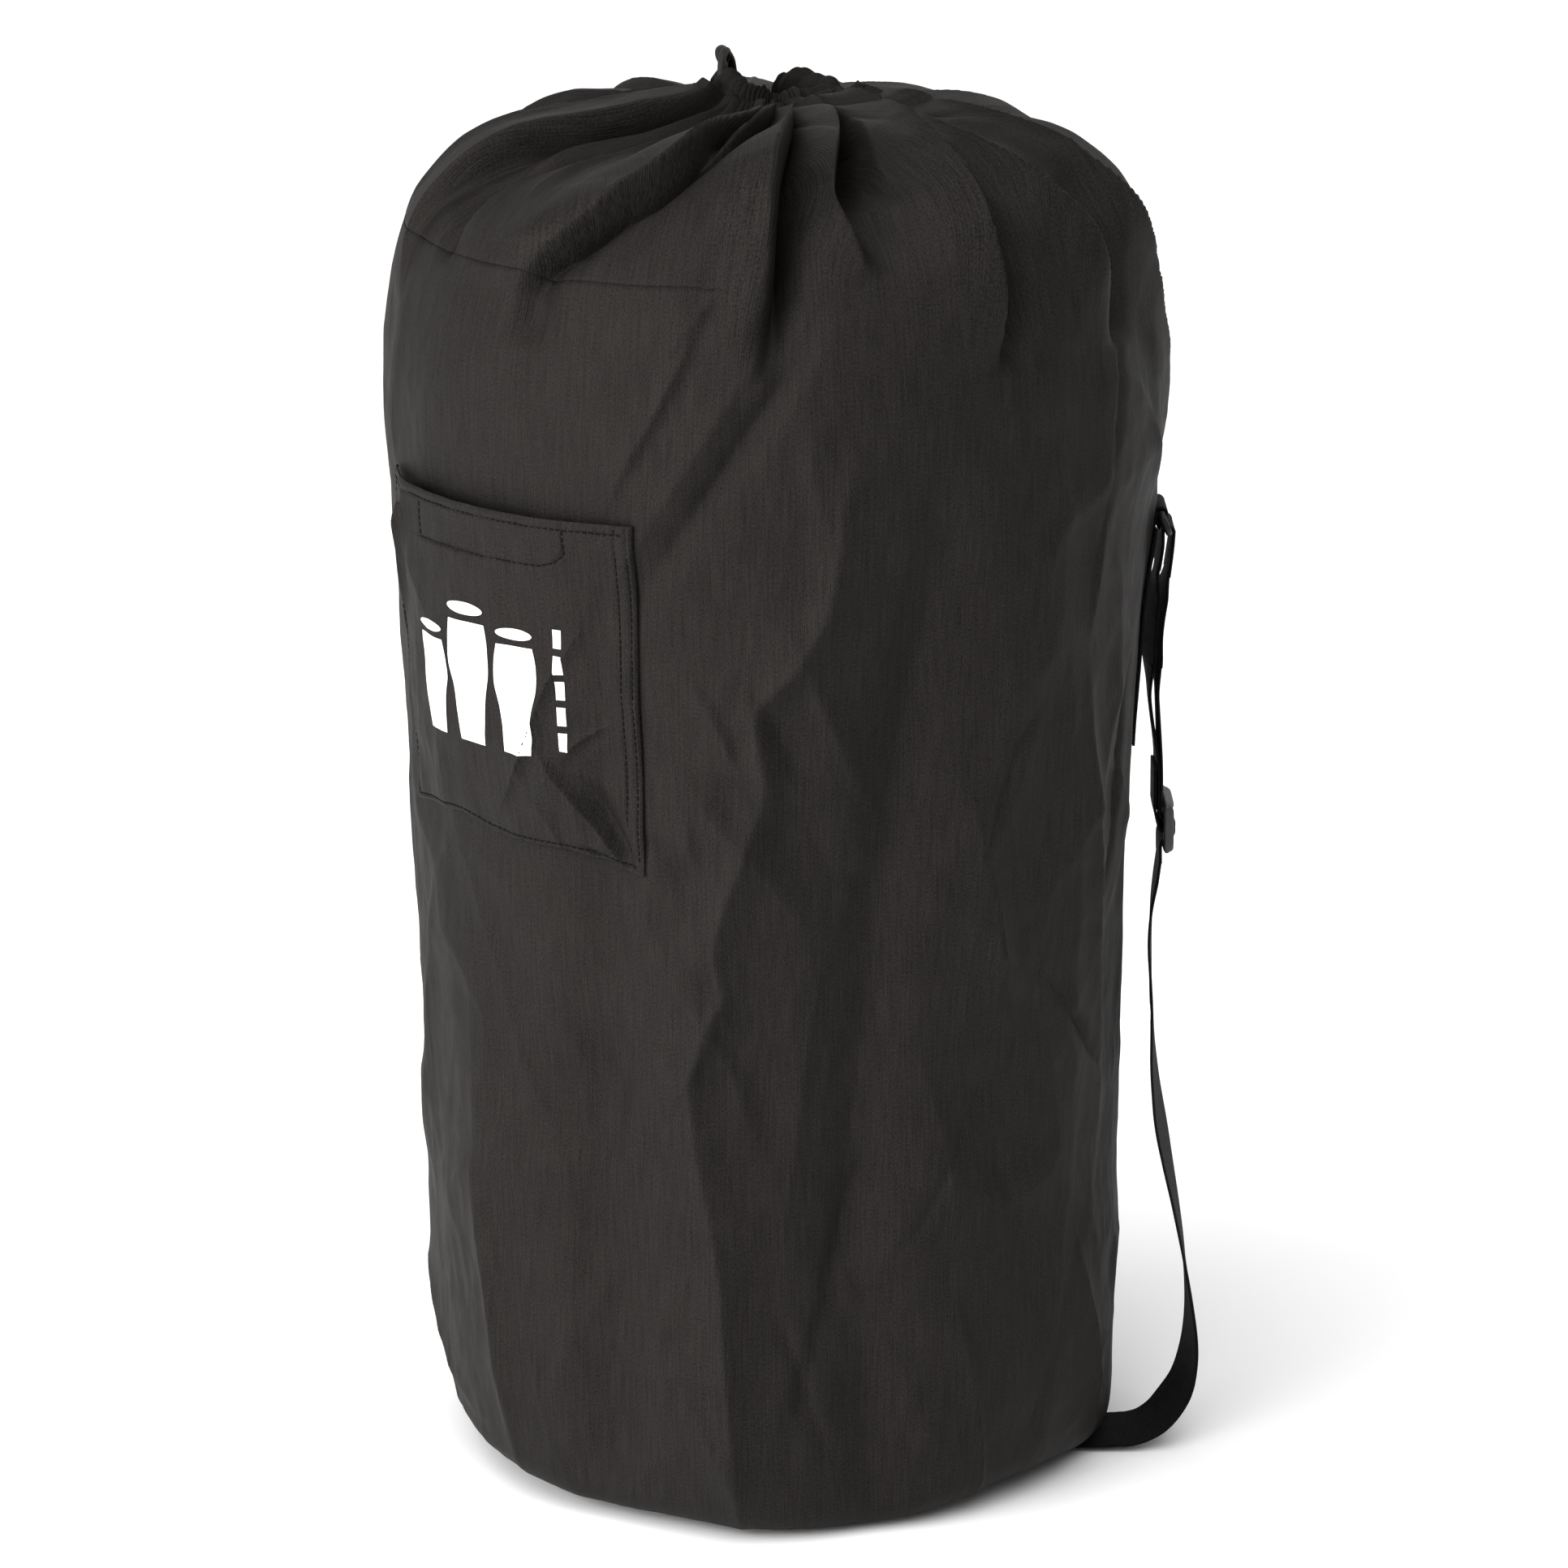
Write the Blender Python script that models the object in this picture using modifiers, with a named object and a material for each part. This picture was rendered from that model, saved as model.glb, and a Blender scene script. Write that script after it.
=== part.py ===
"""Drawstring carrying bag for a tall hand drum, standing filled out and closed.

Metres, +Z up. The origin is the centre of the base on the floor, the front is towards -Y,
the patch pocket wraps round the front left and the shoulder strap hangs on the right (+X).
The drum itself is not part of the bag: the bag is an open shell with an empty inside.
"""
import math

import bmesh
import bpy
from mathutils import Vector

# ---- driving dimensions -------------------------------------------------------------------
CLOTH = 0.0025           # thickness of the stand-in cloth shells
GAP = 0.0003             # clearance between solids that touch
RING_STEPS = 40          # facets round the bag, the same on every coaxial piece

BASE_R = 0.1835          # where the flat bottom turns up into the wall
CORNER_R = 0.020         # rounding between bottom and wall
SEAM_Z = 0.742           # seam between the wall and the gathered collar
SEAM_GAP = 0.0006        # each side of that seam, where the bent shells would meet inside
# (radius, height) of the filled-out bag, from the bottom corner up to the collar seam
WALL_KEYS = [(0.2035, 0.020), (0.2030, 0.100), (0.2025, 0.190), (0.2070, 0.330),
             (0.2170, 0.500), (0.2260, 0.630), (0.2245, 0.690), (0.2110, SEAM_Z)]
# and on over the shoulder to the gathered neck
COLLAR_KEYS = [(0.2110, SEAM_Z), (0.1860, 0.773), (0.1500, 0.7885), (0.1000, 0.7955),
               (0.0500, 0.8005), (0.0285, 0.8035)]

CHANNEL_R = 0.028        # ring that the drawstring channel makes round the mouth
CHANNEL_Z = 0.8135
CHANNEL_TUBE = 0.0095    # outer radius of the channel's own section
CHANNEL_CLOTH = 0.0016
CORD_R = 0.00225

TAPE = 0.0012            # binding tape and hook-and-loop thickness
SEAM_AZ = -73.0          # side seam, degrees from the front, negative to the left
POCKET_AZ = (-72.0, -19.5)
POCKET_Z = (0.404, 0.610)
POCKET_GAPE = 0.014      # how far the empty pocket stands off the wall at its middle

WEB = 0.050              # webbing width
WEB_T = 0.0016           # webbing thickness
STRAP_LEAN = 0.0803      # sideways lean of the strap's plane, run over rise
STRAP_Y = -0.030         # where that plane meets the floor
SLIDER_X, SLIDER_S = 0.2325, 0.379      # tri-glide centre in the strap's plane
RING_INNER = (0.2280, 0.5660)           # ring bar held by the tab, in the strap's plane
RING_OUTER = (0.2325, 0.5549)           # ring bar that carries the strap
RING_HALF = 0.0285
RING_WIRE = 0.002
SLOT_LENGTH = 0.0525     # of the tri-glide's slots, along its bars
FOLD_R = 0.0033          # centreline radius of webbing folded over a ring bar
SEWN_END_X = 0.2093      # the strap's sewn end stops here and its free run begins


# ---- helpers ------------------------------------------------------------------------------
def clear_scene():
    """Start from an empty scene."""
    for item in list(bpy.data.objects):
        bpy.data.objects.remove(item, do_unlink=True)


def new_collection(name):
    """A collection linked to the scene."""
    made = bpy.data.collections.new(name)
    bpy.context.scene.collection.children.link(made)
    return made


def material(name, colour, roughness, metallic=0.0):
    """A plain Principled material."""
    made = bpy.data.materials.new(name)
    made.use_nodes = True
    shader = made.node_tree.nodes["Principled BSDF"]
    shader.inputs["Base Color"].default_value = (*colour, 1.0)
    shader.inputs["Roughness"].default_value = roughness
    shader.inputs["Metallic"].default_value = metallic
    return made


def smooth_line(keys, per_span):
    """Catmull-Rom points through the keys, end keys included."""
    pts = [Vector(k) for k in keys]
    pts = [2 * pts[0] - pts[1]] + pts + [2 * pts[-1] - pts[-2]]
    line = []
    for a, b, c, d in zip(pts, pts[1:], pts[2:], pts[3:]):
        for step in range(per_span):
            t = step / per_span
            line.append(0.5 * (2 * b + (c - a) * t + (2 * a - 5 * b + 4 * c - d) * t ** 2
                               + (3 * b - a - 3 * c + d) * t ** 3))
    line.append(pts[-2])
    return line


def bottom_corner(steps=4):
    """Quarter turn from the flat bottom up to the wall, as (radius, height)."""
    turn = [math.radians(-90 + 90 * i / steps) for i in range(steps)]
    return [Vector((BASE_R + CORNER_R * math.cos(a), CORNER_R + CORNER_R * math.sin(a)))
            for a in turn]


WALL_LINE = smooth_line(WALL_KEYS + COLLAR_KEYS[1:], 12)[:12 * (len(WALL_KEYS) - 1) + 1]


def wall_radius(z):
    """Outer radius of the wall at height z, between the bottom corner and the collar seam."""
    for low, high in zip(WALL_LINE, WALL_LINE[1:]):
        if low.y <= z <= high.y:
            return low.x + (high.x - low.x) * (z - low.y) / (high.y - low.y)
    return WALL_KEYS[-1][0]


def finish_mesh(name, bm, where, mat, smooth=True):
    """Turn a bmesh into an object of the collection."""
    mesh = bpy.data.meshes.new(name)
    bm.to_mesh(mesh)
    bm.free()
    mesh.materials.append(mat)
    if smooth:
        mesh.shade_smooth()
        mesh.set_sharp_from_angle(angle=math.radians(40))
    made = bpy.data.objects.new(name, mesh)
    where.objects.link(made)
    return made


def solidify(item, thickness, offset):
    """Give an open surface its thickness."""
    mod = item.modifiers.new("Thickness", "SOLIDIFY")
    mod.thickness = thickness
    mod.offset = offset
    mod.use_even_offset = True
    return mod


def turned_shell(name, outline, thickness, where, mat):
    """Cloth shell turned about Z from an outline that runs down its outer side."""
    bm = bmesh.new()
    verts = [bm.verts.new((p[0], 0.0, p[1])) for p in outline]
    for a, b in zip(verts, verts[1:]):
        bm.edges.new((a, b))
    made = finish_mesh(name, bm, where, mat, smooth=False)
    screw = made.modifiers.new("Turn", "SCREW")
    screw.axis = "Z"
    screw.steps = RING_STEPS
    screw.render_steps = RING_STEPS
    screw.use_merge_vertices = True
    screw.merge_threshold = 0.00005
    screw.use_smooth_shade = True
    solidify(made, thickness, -1.0)
    return made


def wall_patch(name, az, z, cells, stand_off, thickness, where, mat):
    """Patch that follows the wall; stand_off(u, v) lifts its inner face off the wall."""
    bm = bmesh.new()
    bmesh.ops.create_grid(bm, x_segments=cells[0], y_segments=cells[1], size=0.5)
    for vert in bm.verts:
        u, v = vert.co.x + 0.5, vert.co.y + 0.5
        height = z[0] + (z[1] - z[0]) * v
        turn = math.radians(az[0] + (az[1] - az[0]) * u)
        radius = wall_radius(height) + stand_off(u, v)
        vert.co = (radius * math.sin(turn), -radius * math.cos(turn), height)
    made = finish_mesh(name, bm, where, mat)
    solidify(made, thickness, 1.0)
    return made


def ribbon(name, path, thickness, plane, where, mat):
    """Flat webbing swept along a path of (outward, upward) points in the strap's plane."""
    bm = bmesh.new()
    verts = [bm.verts.new((p[0], p[1], -WEB / 2)) for p in path]
    edges = [bm.edges.new((a, b)) for a, b in zip(verts, verts[1:])]
    swept = bmesh.ops.extrude_edge_only(bm, edges=edges)["geom"]
    moved = [g for g in swept if isinstance(g, bmesh.types.BMVert)]
    bmesh.ops.translate(bm, verts=moved, vec=(0.0, 0.0, WEB))
    made = finish_mesh(name, bm, where, mat)
    made.parent = plane
    solidify(made, thickness, 0.0)
    return made


def box(name, size, centre, where, mat):
    """Axis-aligned box."""
    bm = bmesh.new()
    bmesh.ops.create_cube(bm, size=1.0)
    bmesh.ops.scale(bm, vec=size, verts=bm.verts)
    made = finish_mesh(name, bm, where, mat, smooth=False)
    made.location = centre
    return made


def cutter(item):
    """Mark an object as a Boolean tool that is not part of the bag."""
    item.hide_render = True
    item.display_type = "WIRE"
    return item


def boolean(item, tool, operation):
    """Exact Boolean with one tool."""
    mod = item.modifiers.new("Boolean", "BOOLEAN")
    mod.operation = operation
    mod.object = tool
    return mod


def tube(name, points, radius, closed, where, mat):
    """Round cord or wire along the points."""
    data = bpy.data.curves.new(name, "CURVE")
    data.dimensions = "3D"
    data.bevel_depth = radius
    data.bevel_resolution = 2
    data.use_fill_caps = not closed
    data.materials.append(mat)
    line = data.splines.new("POLY")
    line.points.add(len(points) - 1)
    for knot, p in zip(line.points, points):
        knot.co = (*p, 1.0)
    line.use_cyclic_u = closed
    made = bpy.data.objects.new(name, data)
    where.objects.link(made)
    return made


def arc(centre, radius, start, end, steps):
    """Points on an arc in a plane, angles in degrees."""
    angles = [math.radians(start + (end - start) * i / steps) for i in range(steps + 1)]
    return [(centre[0] + radius * math.cos(a), centre[1] + radius * math.sin(a)) for a in angles]


def inset(line, depth):
    """An upward running outline moved into the bag by depth."""
    moved = []
    for i, point in enumerate(line):
        along = line[min(i + 1, len(line) - 1)] - line[max(i - 1, 0)]
        along.normalize()
        moved.append(point + depth * Vector((-along.y, along.x)))
    return moved


# ---- cloth body ---------------------------------------------------------------------------
def make_body(where, cloth, tape):
    """Wall, collar, bottom and the tapes that bind their seams inside."""
    side = smooth_line(WALL_KEYS + COLLAR_KEYS[1:], 2)
    seam_at = 2 * (len(WALL_KEYS) - 1)
    wall, collar = side[:seam_at + 1], side[seam_at:]
    wall[-1] = wall[-1] + SEAM_GAP * (wall[-2] - wall[-1]).normalized()
    collar[0] = collar[0] + SEAM_GAP * (collar[1] - collar[0]).normalized()
    turned_shell("body_panel", (bottom_corner() + wall)[::-1], CLOTH, where, cloth)
    turned_shell("top_collar", collar[::-1], CLOTH, where, cloth)

    bm = bmesh.new()
    bmesh.ops.create_cone(bm, cap_ends=True, segments=RING_STEPS, radius1=BASE_R - 0.001,
                          radius2=BASE_R - 0.001, depth=CLOTH)
    base = finish_mesh("base_panel", bm, where, cloth, smooth=False)
    base.location.z = CLOTH / 2

    binding_z = CLOTH + GAP + TAPE
    turned_shell("base_binding", [(BASE_R - 0.011, binding_z), (BASE_R, binding_z)][::-1],
                 TAPE, where, tape).modifiers["Thickness"].offset = 1.0
    turned_shell("collar_seam_tape", inset(side[seam_at - 1:seam_at + 2], CLOTH + 4 * GAP)[::-1],
                 TAPE, where, tape)
    depth = CLOTH + TAPE + 5 * GAP
    wall_patch("side_seam_tape", (SEAM_AZ - 2.5, SEAM_AZ + 2.5), (0.03, 0.70), (2, 14),
               lambda u, v: -depth, TAPE, where, tape)


def make_channel(where, tools, cloth, cord):
    """Hemmed channel round the mouth, its eyelet opening and the cord inside it."""
    section = arc((CHANNEL_R, CHANNEL_Z), CHANNEL_TUBE, 250, -70, 14)
    channel = turned_shell("drawstring_channel", section, CHANNEL_CLOTH, where, cloth)
    bm = bmesh.new()
    bmesh.ops.create_cone(bm, cap_ends=True, segments=20, radius1=1.0, radius2=1.0, depth=0.014)
    bmesh.ops.scale(bm, vec=(0.0043, 0.0068, 1.0), verts=bm.verts)
    eyelet = cutter(finish_mesh("eyelet_cutter", bm, tools, cloth, smooth=False))
    eyelet.location = (-CHANNEL_R, 0.0002, CHANNEL_Z + 0.0105)
    boolean(channel, eyelet, "DIFFERENCE")
    turns = [math.radians(182.4 + 355.2 * i / 26) for i in range(27)]
    hidden = [(CHANNEL_R * math.cos(a), CHANNEL_R * math.sin(a), CHANNEL_Z) for a in turns]
    tube("drawstring_in_channel", hidden, CORD_R, False, where, cord)


# ---- pocket -------------------------------------------------------------------------------
def make_pocket(where, cloth, tape, ink):
    """Patch pocket, its touch-fastening strips and the printed mark."""
    def bulge(u, v):
        side = math.sin(math.pi * min(max(u, 0.0), 1.0)) ** 0.5 if 0 < u < 1 else 0.0
        rise = math.sin(0.5 * math.pi * min(1.0, 2.2 * v))
        return 2 * GAP + POCKET_GAPE * side * rise

    wall_patch("pocket_panel", POCKET_AZ, POCKET_Z, (14, 10), bulge, 0.0018, where, cloth)
    az, z = (-57.0, -32.0), (0.583, 0.602)
    wall_patch("pocket_hook_strip", az, z, (8, 2), lambda u, v: 2 * GAP, TAPE, where, tape)

    def on_pocket(u, v, a=az, h=z):
        pocket_u = (a[0] + (a[1] - a[0]) * u - POCKET_AZ[0]) / (POCKET_AZ[1] - POCKET_AZ[0])
        pocket_v = (h[0] + (h[1] - h[0]) * v - POCKET_Z[0]) / (POCKET_Z[1] - POCKET_Z[0])
        return bulge(pocket_u, pocket_v)

    inside = TAPE + 3 * GAP
    wall_patch("pocket_loop_strip", az, z, (8, 2), lambda u, v: on_pocket(u, v) - inside,
               TAPE, where, tape)
    mark_az, mark_z = (-63.0, -31.5), (0.463, 0.547)
    wall_patch("pocket_print", mark_az, mark_z, (8, 6),
               lambda u, v: on_pocket(u, v, mark_az, mark_z) + 0.0018 + 3 * GAP,
               0.0005, where, ink)


# ---- shoulder strap -----------------------------------------------------------------------
def strap_plane(where):
    """Empty whose X points outward and whose Y climbs along the strap's plane."""
    made = bpy.data.objects.new("strap_plane", None)
    made.location.y = STRAP_Y
    made.rotation_euler.x = math.pi / 2 - math.atan(STRAP_LEAN)
    where.objects.link(made)
    return made


def at_slider(points):
    """Points given from the tri-glide's centre, (outward, upward)."""
    return [(SLIDER_X + a, SLIDER_S + b) for a, b in points]


def upper_webbing_path():
    """From the end sewn round the slider's bar, up over the ring and back down through it."""
    sewn_loop = at_slider([(-0.0065, 0.034), (-0.0065, 0.010), (-0.0056, 0.005), (-0.0042, 0.0),
                           (-0.0030, -0.0024), (-0.0010, -0.0036), (0.0016, -0.0034),
                           (0.0027, -0.0020), (0.0027, 0.0020), (0.0016, 0.0034),
                           (-0.0010, 0.0040), (-0.0034, 0.0064), (-0.0046, 0.0095),
                           (-0.0047, 0.034)])
    back_layer = [(0.2268, 0.425), (0.2245, 0.441), (0.2228, 0.456), (0.2223, 0.474),
                  (0.2230, 0.492), (0.2246, 0.510), (0.2270, 0.532), (0.2290, 0.546)]
    fold = arc(RING_OUTER, FOLD_R, 180, 0, 8)
    front_layer = [(0.2354, 0.545), (0.2342, 0.528), (0.2330, 0.510), (0.2312, 0.492),
                   (0.2297, 0.474), (0.2291, 0.455), (0.2291, 0.435), (0.2295, 0.417)]
    weave = at_slider([(-0.0029, 0.022), (-0.0029, 0.0105), (-0.0012, 0.0080), (0.0028, 0.0063),
                       (0.0046, 0.0036), (0.0047, 0.0), (0.0046, -0.0036), (0.0028, -0.0063),
                       (-0.0012, -0.0080), (-0.0029, -0.0105), (-0.0029, -0.022)])
    return sewn_loop + back_layer + fold + front_layer + weave


def lower_webbing_path():
    """From the slider down to the floor beside the bag."""
    start = (SLIDER_X - 0.0029, SLIDER_S - 0.022 - GAP)
    return [start, (0.2280, 0.345), (0.2250, 0.328), (0.2232, 0.308), (0.2228, 0.288),
            (0.2232, 0.262), (0.2243, 0.235), (0.2262, 0.205), (0.2300, 0.175),
            (0.2350, 0.145), (0.2400, 0.115), (0.2445, 0.085), (0.2470, 0.058),
            (0.2464, 0.036), (0.2410, 0.0175), (0.2320, 0.0072), (0.2215, 0.0028),
            (0.2130, 0.0016), (SEWN_END_X, 0.0015)]


def make_strap(where, tools, webbing, plastic, metal):
    """Tab on the wall, ring, webbing, tri-glide and the end sewn into the bottom seam."""
    plane = strap_plane(tools)
    tab_heights = [0.428 + 0.128 * i / 8 for i in range(9)]
    climb = math.cos(math.atan(STRAP_LEAN))
    tab = [(wall_radius(s * climb) + 0.0028, s) for s in tab_heights]
    ribbon("upper_strap_tab", tab, 0.0035, plane, where, webbing)
    loop = [(0.2236, 0.5566), (0.2246, 0.562), *arc(RING_INNER, FOLD_R, 180, 0, 8),
            (0.2306, 0.562), (0.2262, 0.5566)]
    ribbon("upper_tab_loop", loop, WEB_T, plane, where, webbing)
    ribbon("strap_upper_webbing", upper_webbing_path(), WEB_T, plane, where, webbing)
    ribbon("strap_lower_webbing", lower_webbing_path(), WEB_T, plane, where, webbing)
    ribbon("strap_sewn_end", [(SEWN_END_X - GAP, 0.0014), (0.1955, 0.0013)], WEB_T, plane,
           where, webbing)

    corner = 0.003
    along = Vector(RING_OUTER) - Vector(RING_INNER)
    length = along.length
    along.normalize()
    low, high, side = corner, length - corner, RING_HALF - corner
    wire = []
    for middle, first in [((low, -side), 180), ((high, -side), 270), ((high, side), 0),
                          ((low, side), 90)]:
        for a, b in arc(middle, corner, first, first + 90, 3):
            point = Vector(RING_INNER) + a * along
            wire.append((point.x, point.y, b))
    ring = tube("strap_ring", wire, RING_WIRE, True, where, metal)
    ring.parent = plane

    slider = box("tri_glide", (0.0036, 0.030, 0.060), (SLIDER_X, SLIDER_S, 0.0), where, plastic)
    slider.parent = plane
    for sign in (-1, 1):
        slot = ((0.02, 0.009, SLOT_LENGTH), (SLIDER_X, SLIDER_S + sign * 0.0065, 0.0))
        relief = ((0.01, 0.0045, SLOT_LENGTH), (SLIDER_X + sign * 0.0063, SLIDER_S, 0.0))
        for size, centre in (slot, relief):
            tool = cutter(box("slider_cutter", size, centre, tools, plastic))
            tool.parent = plane
            boolean(slider, tool, "DIFFERENCE")
    rounding = slider.modifiers.new("Rounding", "BEVEL")
    rounding.width = 0.0007
    rounding.segments = 1
    rounding.limit_method = "ANGLE"


# ---- drawstring tails ---------------------------------------------------------------------
TAIL_END_Z = 0.4005      # both tails end here, at the knot
TAIL_LEFT = [(-0.0280, -0.0029, 0.8164), (-0.0285, -0.0024, 0.8250), (-0.0300, -0.0010, 0.8340),
             (-0.0312, 0.0035, 0.8415), (-0.0310, 0.0105, 0.8445), (-0.0300, 0.0175, 0.8420),
             (-0.0288, 0.0240, 0.8350), (-0.0278, 0.0310, 0.8265), (-0.0267, 0.0390, 0.8165),
             (-0.0255, 0.0490, 0.8078), (-0.0240, 0.0630, 0.8034), (-0.0215, 0.0850, 0.8006),
             (-0.0190, 0.1100, 0.7978), (-0.0170, 0.1350, 0.7946), (-0.0155, 0.1570, 0.7908),
             (-0.0145, 0.1760, 0.7838), (-0.0138, 0.1925, 0.7735), (-0.0132, 0.2065, 0.7595),
             (-0.0128, 0.2175, 0.7405), (-0.0125, 0.2250, 0.7180), (-0.0123, 0.2293, 0.6920),
             (-0.0121, 0.2306, 0.6600), (-0.0120, 0.2306, 0.6200), (-0.0119, 0.2304, 0.5600),
             (-0.0118, 0.2302, 0.4900), (-0.0118, 0.2300, 0.4300), (-0.0118, 0.2300, TAIL_END_Z)]
TAIL_RIGHT = [(-0.0280, 0.0029, 0.8164), (-0.0272, 0.0030, 0.8250), (-0.0252, 0.0037, 0.8330),
              (-0.0247, 0.0075, 0.8388), (-0.0243, 0.0130, 0.8410), (-0.0236, 0.0187, 0.8390),
              (-0.0228, 0.0250, 0.8332), (-0.0218, 0.0318, 0.8250), (-0.0207, 0.0393, 0.8158),
              (-0.0195, 0.0490, 0.8076), (-0.0180, 0.0630, 0.8034), (-0.0156, 0.0850, 0.8006),
              (-0.0131, 0.1100, 0.7978), (-0.0112, 0.1350, 0.7946), (-0.0097, 0.1570, 0.7908),
              (-0.0087, 0.1760, 0.7838), (-0.0080, 0.1925, 0.7735), (-0.0074, 0.2065, 0.7595),
              (-0.0070, 0.2175, 0.7405), (-0.0067, 0.2250, 0.7180), (-0.0065, 0.2293, 0.6920),
              (-0.0063, 0.2306, 0.6600), (-0.0062, 0.2306, 0.6200), (-0.0061, 0.2304, 0.5600),
              (-0.0060, 0.2302, 0.4900), (-0.0060, 0.2300, 0.4300), (-0.0060, 0.2300, TAIL_END_Z)]


def even_points(keys, spacing):
    """Points at an even spacing along the smooth line through the keys."""
    line = smooth_line(keys, 12)
    total = sum((b - a).length for a, b in zip(line, line[1:]))
    count = round(total / spacing)
    points, travelled, wanted = [line[0]], 0.0, total / count
    for a, b in zip(line, line[1:]):
        step = (b - a).length
        while travelled + step >= wanted * len(points) and len(points) < count:
            share = (wanted * len(points) - travelled) / step
            points.append(a.lerp(b, share))
        travelled += step
    return points + [line[-1]]


def make_tails(where, tools, cord):
    """The two free ends of the drawstring and the knot that joins them."""
    tube("drawstring_tail_left", even_points(TAIL_LEFT, 0.0145), CORD_R, False, where, cord)
    tube("drawstring_tail_right", even_points(TAIL_RIGHT, 0.0145), CORD_R, False, where, cord)
    middle = (TAIL_LEFT[-1][0] + TAIL_RIGHT[-1][0]) / 2
    bm = bmesh.new()
    bmesh.ops.create_uvsphere(bm, u_segments=14, v_segments=8, radius=1.0)
    bmesh.ops.scale(bm, vec=(0.0085, 0.0070, 0.0100), verts=bm.verts)
    knot = finish_mesh("drawstring_knot", bm, where, cord)
    knot.location = (middle, TAIL_LEFT[-1][1], TAIL_END_Z - 0.0104)
    for side in (-1, 1):
        bm = bmesh.new()
        bmesh.ops.create_cone(bm, cap_ends=True, segments=10, radius1=CORD_R, radius2=CORD_R,
                              depth=0.030)
        end = cutter(finish_mesh("knot_end", bm, tools, cord))
        end.location = knot.location + Vector((side * 0.0040, 0.0, -0.020))
        boolean(knot, end, "UNION")


def build():
    """Make every piece of the bag."""
    clear_scene()
    where = new_collection("drum_carrying_bag")
    tools = new_collection("cutters_and_guides")
    cloth = material("nylon_cloth", (0.028, 0.025, 0.024), 0.62)
    webbing = material("webbing", (0.010, 0.009, 0.009), 0.75)
    tape = material("binding_tape", (0.012, 0.012, 0.012), 0.8)
    cord = material("braided_cord", (0.022, 0.020, 0.019), 0.7)
    plastic = material("moulded_plastic", (0.05, 0.05, 0.05), 0.4)
    metal = material("ring_metal", (0.03, 0.03, 0.03), 0.35, 1.0)
    ink = material("white_print", (0.85, 0.85, 0.84), 0.5)
    make_body(where, cloth, tape)
    make_channel(where, tools, cloth, cord)
    make_pocket(where, cloth, tape, ink)
    make_strap(where, tools, webbing, plastic, metal)
    make_tails(where, tools, cord)


build()
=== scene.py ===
"""Looks of the drum carrying bag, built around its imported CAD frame.

Metres, +Z up, the bag's front towards -Y and its strap on the +X side. Places on the cloth are
given as (azimuth, h): degrees from the front, positive to the right, and metres along the cloth
upwards, where h equals the height of the collar seam at that seam.
"""
import math

import bmesh
import bpy
import numpy as np
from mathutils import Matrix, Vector


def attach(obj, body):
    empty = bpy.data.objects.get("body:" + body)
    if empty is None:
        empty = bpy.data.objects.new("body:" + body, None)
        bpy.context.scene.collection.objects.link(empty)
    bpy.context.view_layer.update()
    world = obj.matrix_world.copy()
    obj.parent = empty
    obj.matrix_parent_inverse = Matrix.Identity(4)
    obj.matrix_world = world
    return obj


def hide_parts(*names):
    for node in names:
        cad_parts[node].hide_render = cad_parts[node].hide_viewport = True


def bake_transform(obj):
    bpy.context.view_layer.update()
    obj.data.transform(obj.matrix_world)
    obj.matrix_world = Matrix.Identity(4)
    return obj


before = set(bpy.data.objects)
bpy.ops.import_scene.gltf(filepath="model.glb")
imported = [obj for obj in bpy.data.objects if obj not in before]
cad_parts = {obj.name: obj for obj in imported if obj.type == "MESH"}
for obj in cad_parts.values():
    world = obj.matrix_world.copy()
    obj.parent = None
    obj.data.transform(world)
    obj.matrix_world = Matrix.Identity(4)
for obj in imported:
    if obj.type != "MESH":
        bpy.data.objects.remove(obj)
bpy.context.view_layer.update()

# ---- sizes shared with the CAD ---------------------------------------------------------------
BASE_R = 0.1835
CORNER_R = 0.020
SEAM_H = 0.742
WALL_KEYS = [(0.2035, 0.020), (0.2030, 0.100), (0.2025, 0.190), (0.2070, 0.330),
             (0.2170, 0.500), (0.2260, 0.630), (0.2245, 0.690), (0.2110, SEAM_H)]
COLLAR_KEYS = [(0.1860, 0.773), (0.1500, 0.7885), (0.1000, 0.7955), (0.0540, 0.8010),
               (0.0415, 0.8045), (0.0355, 0.8105)]
CHANNEL_R, CHANNEL_Z, CHANNEL_TUBE = 0.028, 0.8135, 0.0095
CORD_D = 0.0045
SEAM_AZ = -73.0
POCKET_AZ = (-72.0, -19.5)
WEB, WEB_T = 0.050, 0.0016
CLOTH_T, TAPE_T = 0.0008, 0.0007
WEAVE_R = 0.2165                         # mean radius that turns angles into cloth length
POCKET_R = 0.226                         # radius of the wall under the pocket and its print
STRAP_LEAN, STRAP_Y = 0.0803, -0.030
SLIDER_X, SLIDER_S = 0.2325, 0.379
RING_INNER, RING_OUTER = (0.2280, 0.5660), (0.2325, 0.5549)
FOLD_R = 0.0033
RING_HALF, RING_CORNER, RING_WIRE = 0.0285, 0.003, 0.002
SEWN_END_X = 0.2093

def linked(name, data):
    """New object with that data, in the scene."""
    made = bpy.data.objects.new(name, data)
    bpy.context.scene.collection.objects.link(made)
    return made


# ---- camera, first ---------------------------------------------------------------------------
TARGET = Vector((0.0077, 0.0, 0.3995))
DISTANCE, ELEVATION, LENS = 4.7, 15.9, 182.7


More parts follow.
